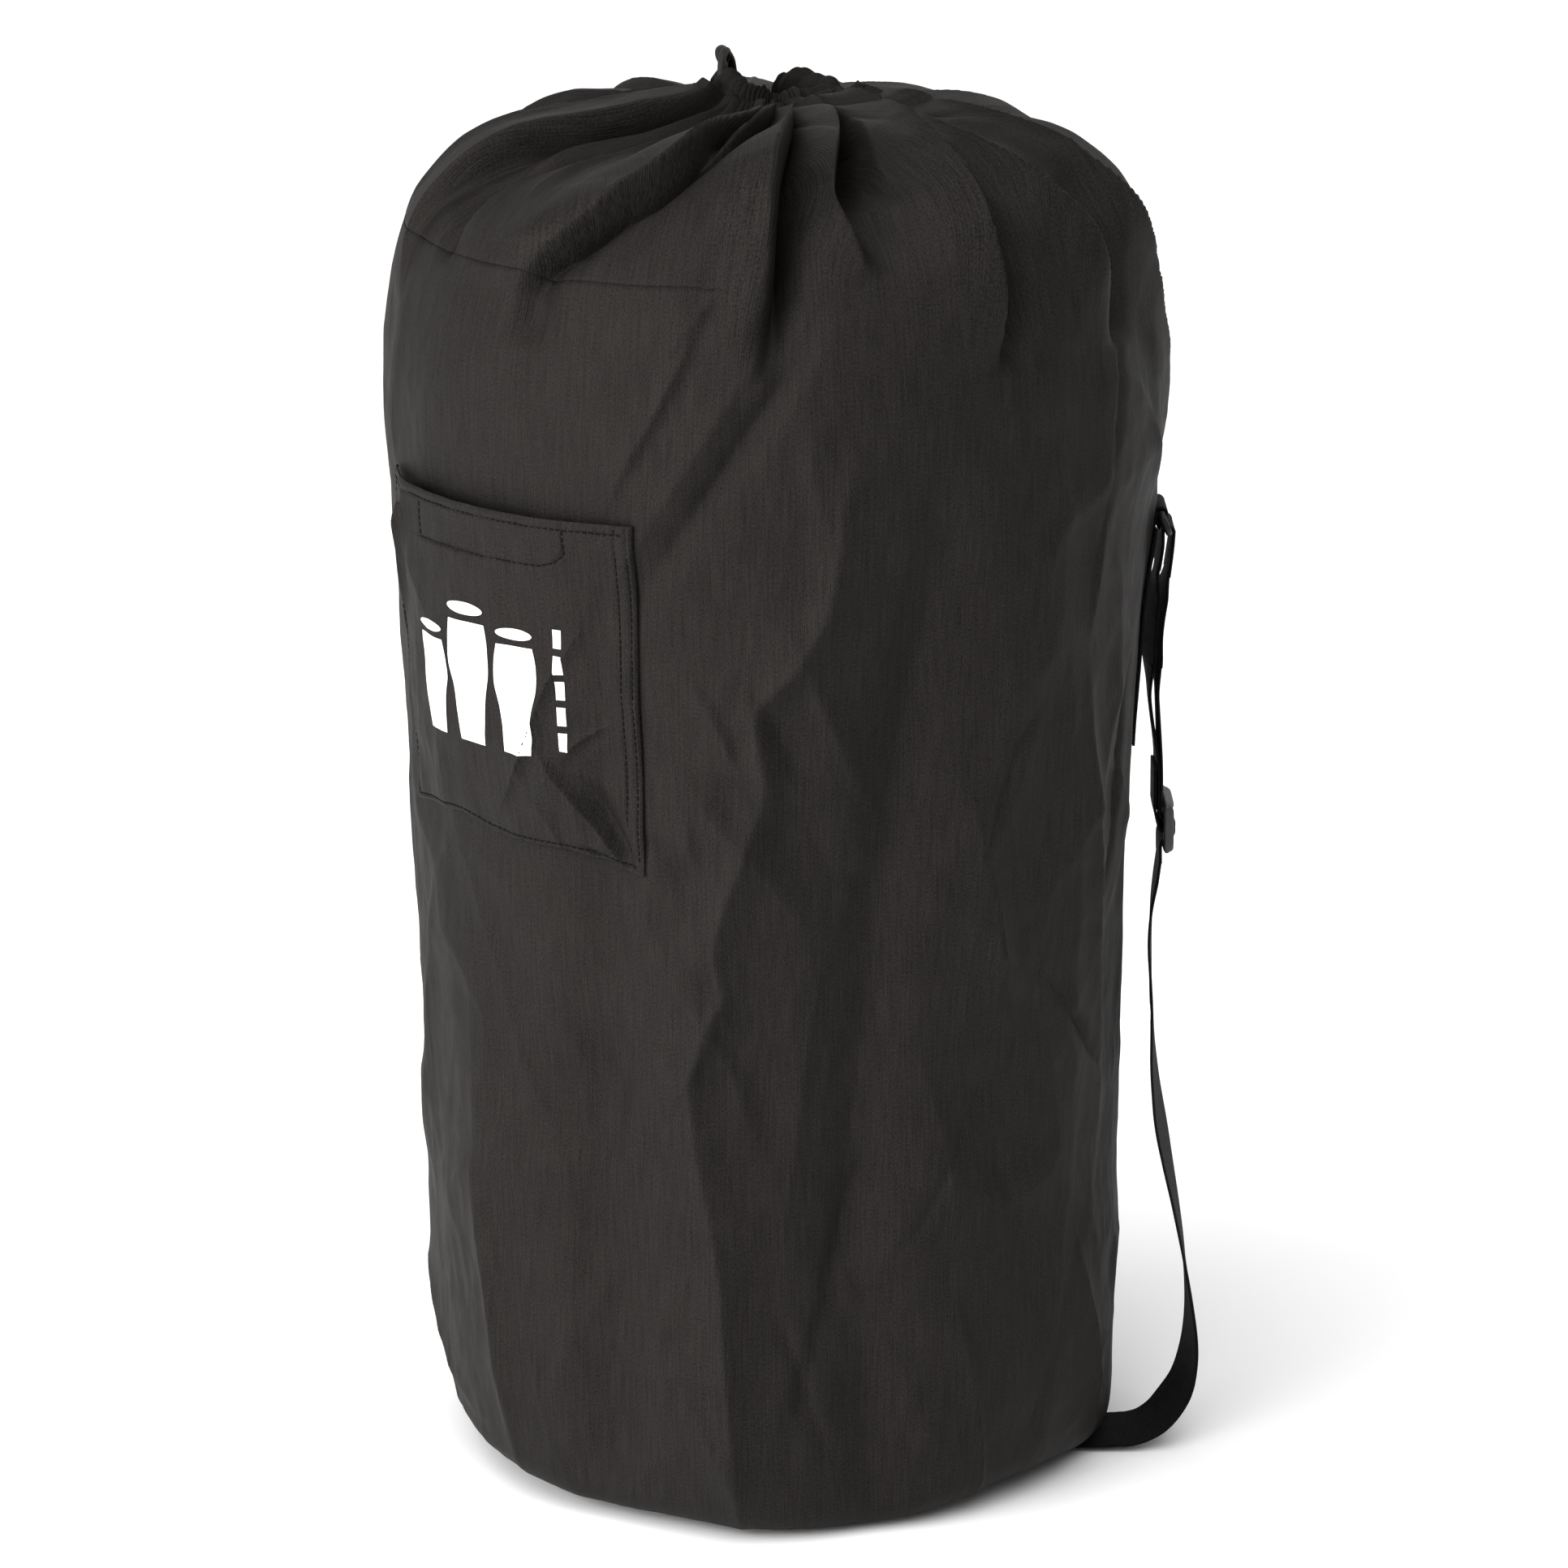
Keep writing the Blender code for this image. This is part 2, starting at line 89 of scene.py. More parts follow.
def make_camera():
    """Camera at the bag's showing angle, from the front and a little above."""
    data = bpy.data.cameras.new("camera")
    data.lens = LENS
    data.sensor_width = 36.0
    made = linked("camera", data)
    tilt = math.radians(ELEVATION)
    made.location = TARGET + DISTANCE * Vector((0.0, -math.cos(tilt), math.sin(tilt)))
    made.rotation_euler = (math.pi / 2 - tilt, 0.0, 0.0)
    bpy.context.scene.camera = made


make_camera()


# ---- helpers ---------------------------------------------------------------------------------
def smooth_line(keys, per_span):
    """Catmull-Rom points through the keys, end keys included."""
    pts = [np.array(k, float) for k in keys]
    pts = [2 * pts[0] - pts[1]] + pts + [2 * pts[-1] - pts[-2]]
    line = []
    for a, b, c, d in zip(pts, pts[1:], pts[2:], pts[3:]):
        for step in range(per_span):
            t = step / per_span
            line.append(0.5 * (2 * b + (c - a) * t + (2 * a - 5 * b + 4 * c - d) * t ** 2
                               + (3 * b - a - 3 * c + d) * t ** 3))
    line.append(pts[-2])
    return np.array(line)


def distance_along(points):
    """Length of the line up to each of its points."""
    return np.r_[0, np.cumsum(np.linalg.norm(np.diff(points, axis=0), axis=1))]


def even_line(points, spacing):
    """The same line at an even spacing."""
    points = np.asarray(points, float)
    run = distance_along(points)
    count = max(2, int(round(run[-1] / spacing)))
    at = np.linspace(0, run[-1], count + 1)
    return np.stack([np.interp(at, run, points[:, i]) for i in range(points.shape[1])], 1)


def ramp(x, low, high):
    """Smooth step from 0 at low to 1 at high."""
    t = np.clip((x - low) / (high - low), 0, 1)
    return t * t * (3 - 2 * t)


def bell(x, width):
    """Gaussian bump of that half width."""
    return np.exp(-(x / width) ** 2)


def wrap(degrees):
    """Angle difference in -180..180."""
    return (np.asarray(degrees) + 180.0) % 360.0 - 180.0


def lattice_noise(x, y, x_period, seed):
    """Smooth noise of unit cells, periodic in x, about -1..1."""
    rng = np.random.default_rng(seed)
    rows = 512
    table = rng.uniform(0, 2 * np.pi, (x_period, rows))
    x0, y0 = np.floor(x).astype(int), np.floor(y).astype(int)
    fx, fy = x - x0, y - y0
    sx, sy = fx ** 3 * (fx * (fx * 6 - 15) + 10), fy ** 3 * (fy * (fy * 6 - 15) + 10)
    total = 0.0
    for dx, wx in ((0, 1 - sx), (1, sx)):
        for dy, wy in ((0, 1 - sy), (1, sy)):
            angle = table[(x0 + dx) % x_period, (y0 + dy) % rows]
            total = total + wx * wy * (np.cos(angle) * (fx - dx) + np.sin(angle) * (fy - dy))
    return 1.5 * total


def sag_noise(x, y, x_period, seed):
    """Hollows between crisp ridges, periodic in x: squared distance to the nearest of scattered points."""
    rng = np.random.default_rng(seed)
    rows = 256
    table = rng.uniform(0.1, 0.9, (x_period, rows, 2))
    x0, y0 = np.floor(x).astype(int), np.floor(y).astype(int)
    nearest = np.full(np.shape(x), 9.0)
    for dx in (-1, 0, 1):
        for dy in (-1, 0, 1):
            spot = table[(x0 + dx) % x_period, (y0 + dy) % rows]
            gap = (x0 + dx + spot[..., 0] - x) ** 2 + (y0 + dy + spot[..., 1] - y) ** 2
            nearest = np.minimum(nearest, gap)
    return nearest - 0.22


def grid_mesh(name, points, closed_u=False, closed_v=False, extra=None):
    """Mesh of a grid of points, shape (rows, columns, 3)."""
    rows, cols = points.shape[:2]
    index = np.arange(rows * cols).reshape(rows, cols)
    if closed_u:
        index = np.concatenate([index, index[:, :1]], 1)
    if closed_v:
        index = np.concatenate([index, index[:1]], 0)
    quads = np.stack([index[:-1, :-1], index[:-1, 1:], index[1:, 1:], index[1:, :-1]], -1)
    quads = quads.reshape(-1, 4)
    mesh = bpy.data.meshes.new(name)
    mesh.vertices.add(rows * cols)
    mesh.vertices.foreach_set("co", points.reshape(-1).astype(np.float32))
    mesh.loops.add(quads.size)
    mesh.loops.foreach_set("vertex_index", quads.reshape(-1).astype(np.int32))
    mesh.polygons.add(len(quads))
    mesh.polygons.foreach_set("loop_start", np.arange(0, quads.size, 4, dtype=np.int32))
    mesh.polygons.foreach_set("loop_total", np.full(len(quads), 4, np.int32))
    mesh.update(calc_edges=True)
    mesh.shade_smooth()
    if extra is not None:
        attribute = mesh.attributes.new("weave", "FLOAT_VECTOR", "POINT")
        attribute.data.foreach_set("vector", extra.reshape(-1).astype(np.float32))
    return linked(name, mesh)


def apply_modifiers(item):
    """Bake the modifiers into the mesh."""
    bpy.context.view_layer.update()
    graph = bpy.context.evaluated_depsgraph_get()
    mesh = bpy.data.meshes.new_from_object(item.evaluated_get(graph), depsgraph=graph)
    item.modifiers.clear()
    item.data = mesh
    return item


def thicken(item, thickness, offset=-1.0):
    """Solidify and apply."""
    mod = item.modifiers.new("thickness", "SOLIDIFY")
    mod.thickness = thickness
    mod.offset = offset
    return apply_modifiers(item)


def sweep(name, centres, sides, ups, section, closed=False, extra_scale=None):
    """Solid swept along centres; section is a closed loop of (side, up) offsets per ring."""
    rings = centres[:, None, :] + section[..., 0:1] * sides[:, None, :] \
        + section[..., 1:2] * ups[:, None, :]
    made = grid_mesh(name, rings, closed_u=True, closed_v=closed, extra=extra_scale)
    if not closed:
        bm = bmesh.new()
        bm.from_mesh(made.data)
        bm.verts.ensure_lookup_table()
        count = section.shape[-2]
        total = len(bm.verts)
        caps = [bm.faces.new([bm.verts[i] for i in range(count)][::-1]),
                bm.faces.new([bm.verts[total - count + i] for i in range(count)])]
        for edge in [edge for cap in caps for edge in cap.edges]:
            edge.smooth = False
        bmesh.ops.recalc_face_normals(bm, faces=bm.faces)
        bm.to_mesh(made.data)
        bm.free()
    return made


def frames_along(points, hint):
    """Tangent, side and up directions along a line, with side kept near hint."""
    tangent = np.gradient(points, axis=0)
    tangent /= np.linalg.norm(tangent, axis=1)[:, None]
    hint = np.broadcast_to(np.asarray(hint, float), points.shape)
    side = hint - (hint * tangent).sum(1)[:, None] * tangent
    side /= np.linalg.norm(side, axis=1)[:, None]
    up = np.cross(tangent, side)
    return tangent, side, up


# ---- materials -------------------------------------------------------------------------------
class Nodes:
    """Small helper that builds a node tree."""

    def __init__(self, name):
        self.material = bpy.data.materials.new(name)
        self.material.use_nodes = True
        self.tree = self.material.node_tree
        self.shader = self.tree.nodes["Principled BSDF"]

    def add(self, kind, inputs=None, **settings):
        node = self.tree.nodes.new(kind)
        for key, value in settings.items():
            setattr(node, key, value)
        for key, value in (inputs or {}).items():
            self.put(node.inputs[key], value)
        return node

    def put(self, socket, value):
        if isinstance(value, bpy.types.NodeSocket):
            self.tree.links.new(value, socket)
        else:
            socket.default_value = value

    def math(self, operation, a, b=0.0, c=0.0):
        node = self.add("ShaderNodeMath", operation=operation)
        for socket, value in zip(node.inputs, (a, b, c)):
            self.put(socket, value)
        return node.outputs[0]

    def total(self, first, *others):
        for other in others:
            first = self.math("ADD", first, other)
        return first

    def wave(self, along, pitch):
        return self.math("SINE", self.math("MULTIPLY", along, 2 * math.pi / pitch))

    def look(self, colour=None, roughness=None, normal=None, specular=None):
        """Inputs of the shader that are given."""
        for name, value in (("Base Color", colour), ("Roughness", roughness), ("Normal", normal),
                            ("Specular IOR Level", specular)):
            if value is not None:
                self.put(self.shader.inputs[name], value)
        return self.material

    def mix(self, factor, a, b):
        node = self.add("ShaderNodeMix", data_type="RGBA")
        self.put(node.inputs[0], factor)
        self.put(node.inputs[6], a)
        self.put(node.inputs[7], b)
        return node.outputs[2]

    def ramp(self, factor, low, high, a=0.0, b=1.0):
        node = self.add("ShaderNodeMapRange", {"Value": factor, "From Min": low,
                                               "From Max": high, "To Min": a, "To Max": b})
        return node.outputs[0]

    def noise(self, vector, scale, detail=3.0, roughness=0.5):
        node = self.add("ShaderNodeTexNoise", {"Vector": vector, "Scale": scale,
                                               "Detail": detail, "Roughness": roughness})
        return node.outputs["Fac"]

    def bump(self, height, strength, distance, normal=None):
        inputs = {"Height": height, "Strength": strength, "Distance": distance}
        if normal is not None:
            inputs["Normal"] = normal
        return self.add("ShaderNodeBump", inputs).outputs[0]


RIB_PITCH = 0.0011


def weave_coordinates(n):
    """Separate components of the mesh's cloth coordinates, in metres."""
    source = n.add("ShaderNodeAttribute", attribute_name="weave")
    split = n.add("ShaderNodeSeparateXYZ", {"Vector": source.outputs["Vector"]})
    return source.outputs["Vector"], split.outputs[0], split.outputs[1]


def stretched(n, vector, scale):
    """Coordinates scaled by axis."""
    return n.add("ShaderNodeVectorMath", {0: vector, 1: scale},
                 operation="MULTIPLY").outputs[0]


def cloth_material():
    """Dark ribbed nylon: fine vertical ribs, slubs, faint mottling and a soft sheen."""
    n = Nodes("ribbed_nylon")
    vector, along, up = weave_coordinates(n)
    rib, pick = n.wave(along, RIB_PITCH), n.wave(up, 0.0007)
    grain = n.noise(stretched(n, vector, (1250.0, 700.0, 1.0)), 1.0, 3.0, 0.7)
    streak = n.noise(stretched(n, vector, (700.0, 30.0, 1.0)), 1.0, 3.0, 0.6)
    slub = n.total(n.math("MULTIPLY", grain, 0.7), n.math("MULTIPLY", streak, 0.3))
    mottle = n.noise(stretched(n, vector, (60.0, 45.0, 1.0)), 1.0, 5.0, 0.6)
    cloud = n.noise(stretched(n, vector, (9.0, 7.0, 1.0)), 1.0, 3.0, 0.5)
    tone = n.total(n.ramp(slub, 0.35, 0.65, -0.40, 0.40), n.ramp(mottle, 0.3, 0.7, -0.06, 0.06),
                   n.ramp(cloud, 0.3, 0.7, -0.03, 0.03), n.math("MULTIPLY", rib, 0.06), 0.5)
    height = n.total(n.math("MULTIPLY", rib, 0.28), n.math("MULTIPLY", pick, 0.22),
                     n.math("MULTIPLY", slub, 2.0))
    crinkle = n.noise(stretched(n, vector, (150.0, 90.0, 1.0)), 1.0, 4.0, 0.55)
    n.shader.inputs["Specular Tint"].default_value = (1.0, 0.93, 0.89, 1)
    return n.look(n.mix(tone, (0.0018, 0.0016, 0.0015, 1), (0.0225, 0.0202, 0.0188, 1)),
                  n.ramp(mottle, 0.3, 0.7, 0.54, 0.64),
                  n.bump(height, 0.6, 0.00026, n.bump(crinkle, 0.35, 0.0012)), 0.080)


def webbing_material(name, dark, light, pitch):
    """Woven strap: twill ribs across the width and worn, slightly paler yarns."""
    n = Nodes(name)
    vector, across, along = weave_coordinates(n)
    rows = n.wave(along, pitch)
    twill = n.wave(n.total(along, across), 1.6 * pitch)
    yarn = n.wave(across, 0.9 * pitch)
    fuzz = n.noise(stretched(n, vector, (600.0, 500.0, 1.0)), 1.0, 4.0, 0.6)
    wear = n.noise(stretched(n, vector, (40.0, 25.0, 1.0)), 1.0, 3.0, 0.5)
    tone = n.total(n.math("MULTIPLY", twill, 0.16), n.math("MULTIPLY", rows, 0.10),
                   n.ramp(fuzz, 0.3, 0.7, 0.25, 0.65), n.ramp(wear, 0.35, 0.7, -0.08, 0.12))
    height = n.total(n.math("MULTIPLY", rows, 0.5), n.math("MULTIPLY", twill, 0.6),
                     n.math("MULTIPLY", yarn, 0.3), n.math("MULTIPLY", fuzz, 0.8))
    return n.look(n.mix(tone, dark, light), n.ramp(fuzz, 0.3, 0.7, 0.62, 0.82),
                  n.bump(height, 0.7, 0.00035), 0.10)


def pile_material():
    """Touch-fastener pile."""
    n = Nodes("touch_fastener_pile")
    place = n.add("ShaderNodeTexCoord").outputs["Object"]
    loops = n.add("ShaderNodeTexVoronoi", {"Vector": place, "Scale": 900.0}).outputs["Distance"]
    fuzz = n.noise(place, 500.0, 4.0, 0.6)
    n.shader.inputs["Sheen Weight"].default_value = 0.4
    return n.look(n.mix(fuzz, (0.004, 0.004, 0.004, 1), (0.022, 0.021, 0.02, 1)), 0.85,
                  n.bump(loops, 0.8, 0.0006))


def plastic_material():
    """Moulded slider: fine grain, paler scuffs on the raised edges."""
    n = Nodes("moulded_slider_plastic")
    place = n.add("ShaderNodeTexCoord").outputs["Object"]
    grain = n.noise(place, 1800.0, 3.0, 0.6)
    scuff = n.noise(place, 160.0, 5.0, 0.65)
    edge = n.add("ShaderNodeNewGeometry").outputs["Pointiness"]
    worn = n.math("MULTIPLY", n.ramp(edge, 0.50, 0.58), n.ramp(scuff, 0.4, 0.62))
    return n.look(n.mix(worn, (0.020, 0.018, 0.017, 1), (0.060, 0.056, 0.052, 1)),
                  n.ramp(scuff, 0.3, 0.7, 0.32, 0.52), n.bump(grain, 0.35, 0.00012))


def metal_material():
    """Black coated steel wire."""
    n = Nodes("coated_ring_steel")
    place = n.add("ShaderNodeTexCoord").outputs["Object"]
    chips = n.noise(place, 700.0, 5.0, 0.6)
    bare = n.ramp(chips, 0.66, 0.70)
    n.put(n.shader.inputs["Metallic"], bare)
    return n.look(n.mix(bare, (0.006, 0.006, 0.006, 1), (0.12, 0.115, 0.11, 1)),
                  n.ramp(chips, 0.3, 0.7, 0.34, 0.5), n.bump(chips, 0.3, 0.0001), 0.3)


def ink_material():
    """White screen print, with the ribs of the cloth telegraphing through it."""
    n = Nodes("white_screen_print")
    vector, along, _ = weave_coordinates(n)
    speckle = n.noise(stretched(n, vector, (700.0, 700.0, 1.0)), 1.0, 4.0, 0.6)
    return n.look(n.mix(n.ramp(speckle, 0.3, 0.7), (0.80, 0.80, 0.79, 1), (0.90, 0.90, 0.895, 1)),
                  n.ramp(speckle, 0.3, 0.7, 0.48, 0.62),
                  n.bump(n.total(n.wave(along, RIB_PITCH), speckle), 0.3, 0.00015))


def cord_material():
    """Braided cord yarns: painted highlight on the yarn crowns, painted shade in the gaps between them, and
    random fuzz.
    """
    n = Nodes("braided_cord_yarn")
    vector, _, _ = weave_coordinates(n)
    fuzz = n.noise(stretched(n, vector, (900.0, 900.0, 900.0)), 1.0, 4.0, 0.6)
    # crown is the yarns' crown height; in the colour below it paints highlight on the crowns and shade in the
    # gaps
    crown = n.add("ShaderNodeSeparateXYZ", {"Vector": vector}).outputs[2]
    tone = n.total(n.math("MULTIPLY", crown, 0.6), n.ramp(fuzz, 0.3, 0.7, 0.0, 0.4))
    return n.look(n.mix(tone, (0.002, 0.0018, 0.0016, 1), (0.022, 0.0195, 0.018, 1)),
                  n.ramp(fuzz, 0.3, 0.7, 0.45, 0.7), n.bump(fuzz, 0.5, 0.0002), 0.2)


def thread_material():
    """Sewing thread."""
    n = Nodes("sewing_thread")
    place = n.add("ShaderNodeTexCoord").outputs["Object"]
    twist = n.noise(place, 2500.0, 2.0, 0.5)
    return n.look(n.mix(twist, (0.0008, 0.0008, 0.0008, 1), (0.0045, 0.0042, 0.004, 1)), 0.6,
                  n.bump(twist, 0.4, 0.0002), 0.08)


CLOTH = cloth_material()
WEBBING = webbing_material("strap_webbing", (0.0008, 0.0007, 0.0007, 1),
                           (0.0062, 0.0055, 0.0052, 1), 0.0014)
TAPE_CLOTH = webbing_material("binding_tape_weave", (0.004, 0.004, 0.004, 1),
                              (0.022, 0.021, 0.02, 1), 0.0009)
PILE = pile_material()
PLASTIC = plastic_material()
METAL = metal_material()
INK = ink_material()
CORD = cord_material()
THREAD = thread_material()


def finish_piece(item, material, body="bag", nodes=()):
    """Material, slot, replaced CAD nodes and the body that the piece rides on."""
    item.data.materials.clear()
    item.data.materials.append(material)
    if nodes:
        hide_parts(*nodes)
    if body is not None:
        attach(item, body)
    return item


# ---- cords -----------------------------------------------------------------------------------
TAIL_END_Z = 0.4005
TAIL_LEFT = [(-0.0280, -0.0029, 0.8164), (-0.0285, -0.0024, 0.8250), (-0.0300, -0.0010, 0.8340),
             (-0.0312, 0.0035, 0.8415), (-0.0310, 0.0105, 0.8445), (-0.0300, 0.0175, 0.8420),
             (-0.0288, 0.0240, 0.8350), (-0.0278, 0.0310, 0.8265), (-0.0267, 0.0390, 0.8165),
             (-0.0255, 0.0490, 0.8078), (-0.0240, 0.0630, 0.8034), (-0.0215, 0.0850, 0.8006),
             (-0.0190, 0.1100, 0.7978), (-0.0170, 0.1350, 0.7946), (-0.0155, 0.1570, 0.7908),
             (-0.0145, 0.1760, 0.7838), (-0.0138, 0.1925, 0.7735), (-0.0132, 0.2065, 0.7595),
             (-0.0128, 0.2175, 0.7405), (-0.0125, 0.2250, 0.7180), (-0.0123, 0.2293, 0.6920),
             (-0.0121, 0.2306, 0.6600), (-0.0120, 0.2306, 0.6200), (-0.0119, 0.2304, 0.5600),
             (-0.0118, 0.2302, 0.4900), (-0.0118, 0.2300, 0.4300), (-0.0118, 0.2300, TAIL_END_Z)]
TAIL_RIGHT = [(-0.0280, 0.0029, 0.8164), (-0.0272, 0.0030, 0.8250), (-0.0252, 0.0037, 0.8330),
              (-0.0247, 0.0075, 0.8388), (-0.0243, 0.0130, 0.8410), (-0.0236, 0.0187, 0.8390),
              (-0.0228, 0.0250, 0.8332), (-0.0218, 0.0318, 0.8250), (-0.0207, 0.0393, 0.8158),
              (-0.0195, 0.0490, 0.8076), (-0.0180, 0.0630, 0.8034), (-0.0156, 0.0850, 0.8006),
              (-0.0131, 0.1100, 0.7978), (-0.0112, 0.1350, 0.7946), (-0.0097, 0.1570, 0.7908),
              (-0.0087, 0.1760, 0.7838), (-0.0080, 0.1925, 0.7735), (-0.0074, 0.2065, 0.7595),
              (-0.0070, 0.2175, 0.7405), (-0.0067, 0.2250, 0.7180), (-0.0065, 0.2293, 0.6920),
              (-0.0063, 0.2306, 0.6600), (-0.0062, 0.2306, 0.6200), (-0.0061, 0.2304, 0.5600),
              (-0.0060, 0.2302, 0.4900), (-0.0060, 0.2300, 0.4300), (-0.0060, 0.2300, TAIL_END_Z)]


def braided_tube(name, line, diameter, closed=False, spacing=0.0006, strands=8):
    """Round braid along a line: two opposed sets of yarns whose crowns stand proud."""
    points = even_line(line, spacing)
    if closed:
        points = points[:-1]
    _, side, up = frames_along(points, (0.3, 0.1, 0.95) if closed else (1.0, 0.0, 0.05))
    around = np.linspace(0, 2 * np.pi, 28, endpoint=False)
    run = np.arange(len(points)) * spacing
    turn = 2 * np.pi * run / (3.4 * diameter)
    first = np.cos(0.5 * strands * (around[None, :] + turn[:, None]))
    second = np.cos(0.5 * strands * (around[None, :] - turn[:, None]))
    crown = np.maximum(np.abs(first), np.abs(second))
    radius = diameter / 2 * (0.90 + 0.13 * crown)
    section = np.stack([radius * np.cos(around), radius * np.sin(around)], -1)
    # the third cloth coordinate, crown**3, feeds the cord material's painted highlight on the crowns and
    # painted shade in the gaps
    extra = np.stack([np.broadcast_to(around * diameter / 2, crown.shape),
                      np.broadcast_to(run[:, None], crown.shape), crown ** 3], -1)
    return sweep(name, points, side, up, section, closed, extra)


def knot_line(middle, top_z):
    """Overhand knot in a doubled cord, as one closed-up wandering line."""
    t = np.linspace(0, 2 * np.pi, 140, endpoint=False)
    x = 0.0048 * (np.sin(t) + 1.1 * np.sin(2 * t))
    y = 0.0034 * -np.sin(3 * t)
    z = 0.0042 * (np.cos(t) - 1.25 * np.cos(2 * t))
    return np.stack([middle + x, TAIL_LEFT[-1][1] + y, top_z - 0.0104 + z], 1)


def twisted_pair(left, right):
    """Both tails wound round each other once where they stand up out of the gather."""
    middle, half = (left + right) / 2, (left - right) / 2
    middle[:, 2] = np.where(middle[:, 2] > 0.825, 0.825 + 0.6 * (middle[:, 2] - 0.825), middle[:, 2])
    along = np.arange(len(middle)) / 12.0
    tangent, _, _ = frames_along(middle, (1.0, 0.0, 0.05))
    standing = ramp(along, 0.3, 1.6) * (1 - ramp(along, 8.0, 10.0))
    turn = (2 * np.pi * ramp(along, 0.6, 8.5))[:, None]
    across = half - (half * tangent).sum(1)[:, None] * tangent
    spun = across * np.cos(turn) + np.cross(tangent, across) * np.sin(turn)
    size = np.linalg.norm(spun, axis=1)[:, None]
    close = spun / size * (0.51 * CORD_D)
    half = half * (1 - standing[:, None]) + close * standing[:, None]
    return middle + half, middle - half


def make_cords():
    """Both tails and the knot that joins them."""
    knot_mid = (TAIL_LEFT[-1][0] + TAIL_RIGHT[-1][0]) / 2
    loop = knot_line(knot_mid, TAIL_END_Z)
    knot = braided_tube("tied_knot", np.vstack([loop, loop[:1]]), CORD_D, closed=True)
    finish_piece(knot, CORD, nodes=["drawstring_knot"])
    for side in (-1, 1):
        x = knot_mid + side * 0.0040
        top = TAIL_END_Z - 0.0120
        drop = [(x, 0.2300, top), (x + side * 0.0012, 0.2303, top - 0.012),
                (x + side * 0.0020, 0.2300, top - 0.0225)]
        end = braided_tube(f"cord_end_{'left' if side < 0 else 'right'}", smooth_line(drop, 8), CORD_D)
        fray_tip(end, drop[-1])
        finish_piece(end, CORD)
    routes = twisted_pair(smooth_line(TAIL_LEFT, 12), smooth_line(TAIL_RIGHT, 12))
    for name, keys, side, route in (("left", TAIL_LEFT, -1, routes[0]), ("right", TAIL_RIGHT, 1, routes[1])):
        tail = braided_tube(f"braided_tail_{name}", route, CORD_D)
        finish_piece(tail, CORD, nodes=[f"drawstring_tail_{name}"])


def fray_tip(item, tip):
    """Melted, slightly swollen end of a cut cord."""
    co = np.array([v.co for v in item.data.vertices])
    near = ramp(co[:, 2], tip[2] + 0.003, tip[2])
    centre = np.array(tip)
    scale = 1 + 0.18 * near - 0.5 * ramp(co[:, 2], tip[2] + 0.0008, tip[2])
    co[:, :2] = centre[:2] + (co[:, :2] - centre[:2]) * np.where(near > 0, scale, 1.0)[:, None]
    item.data.vertices.foreach_set("co", co.reshape(-1).astype(np.float32))


make_cords()


# ---- the cloth's surface ---------------------------------------------------------------------
def outline():
    """(radius, z, h) down the outside of the bag, from the base's edge to the neck."""
    turn = np.radians(np.linspace(-90, 0, 13)[:-1])
    corner = np.stack([BASE_R + CORNER_R * np.cos(turn), CORNER_R + CORNER_R * np.sin(turn)], 1)
    line = smooth_line(WALL_KEYS + COLLAR_KEYS, 12)
    line = np.vstack([corner, line])
    run = distance_along(line)
    seam = len(corner) + 12 * (len(WALL_KEYS) - 1)
    return line[:, 0], line[:, 1], run - run[seam] + SEAM_H


OUT_R, OUT_Z, OUT_H = outline()
NECK_H = float(OUT_H[-1])
BOTTOM_H = float(OUT_H[0])

# How a fold stands: mm of reach on its left and right, share of dip beyond the right side,
# that dip's width, and how peaked its top is (1 is a sharp crest, 2 a round one).
FOLD_KINDS = {
    "pleat": (30, 4.5, 0.60, 13, 1.15),
    "roll": (42, 7, 0.55, 18, 1.5),
    "soft": (26, 22, 0.0, 1, 1.7),
    "crest": (13, 10, 0.15, 14, 1.1),
    "line": (6, 3.5, 0.35, 8, 1.0),
    "facet": (70, 62, 0.0, 1, 1.05),
    "bend": (36, 30, 0.0, 1, 1.0),
    "groove": (7, 9, 0.0, 1, 1.6),
    "notch": (10, 17, 0.0, 1, 2.0),
}

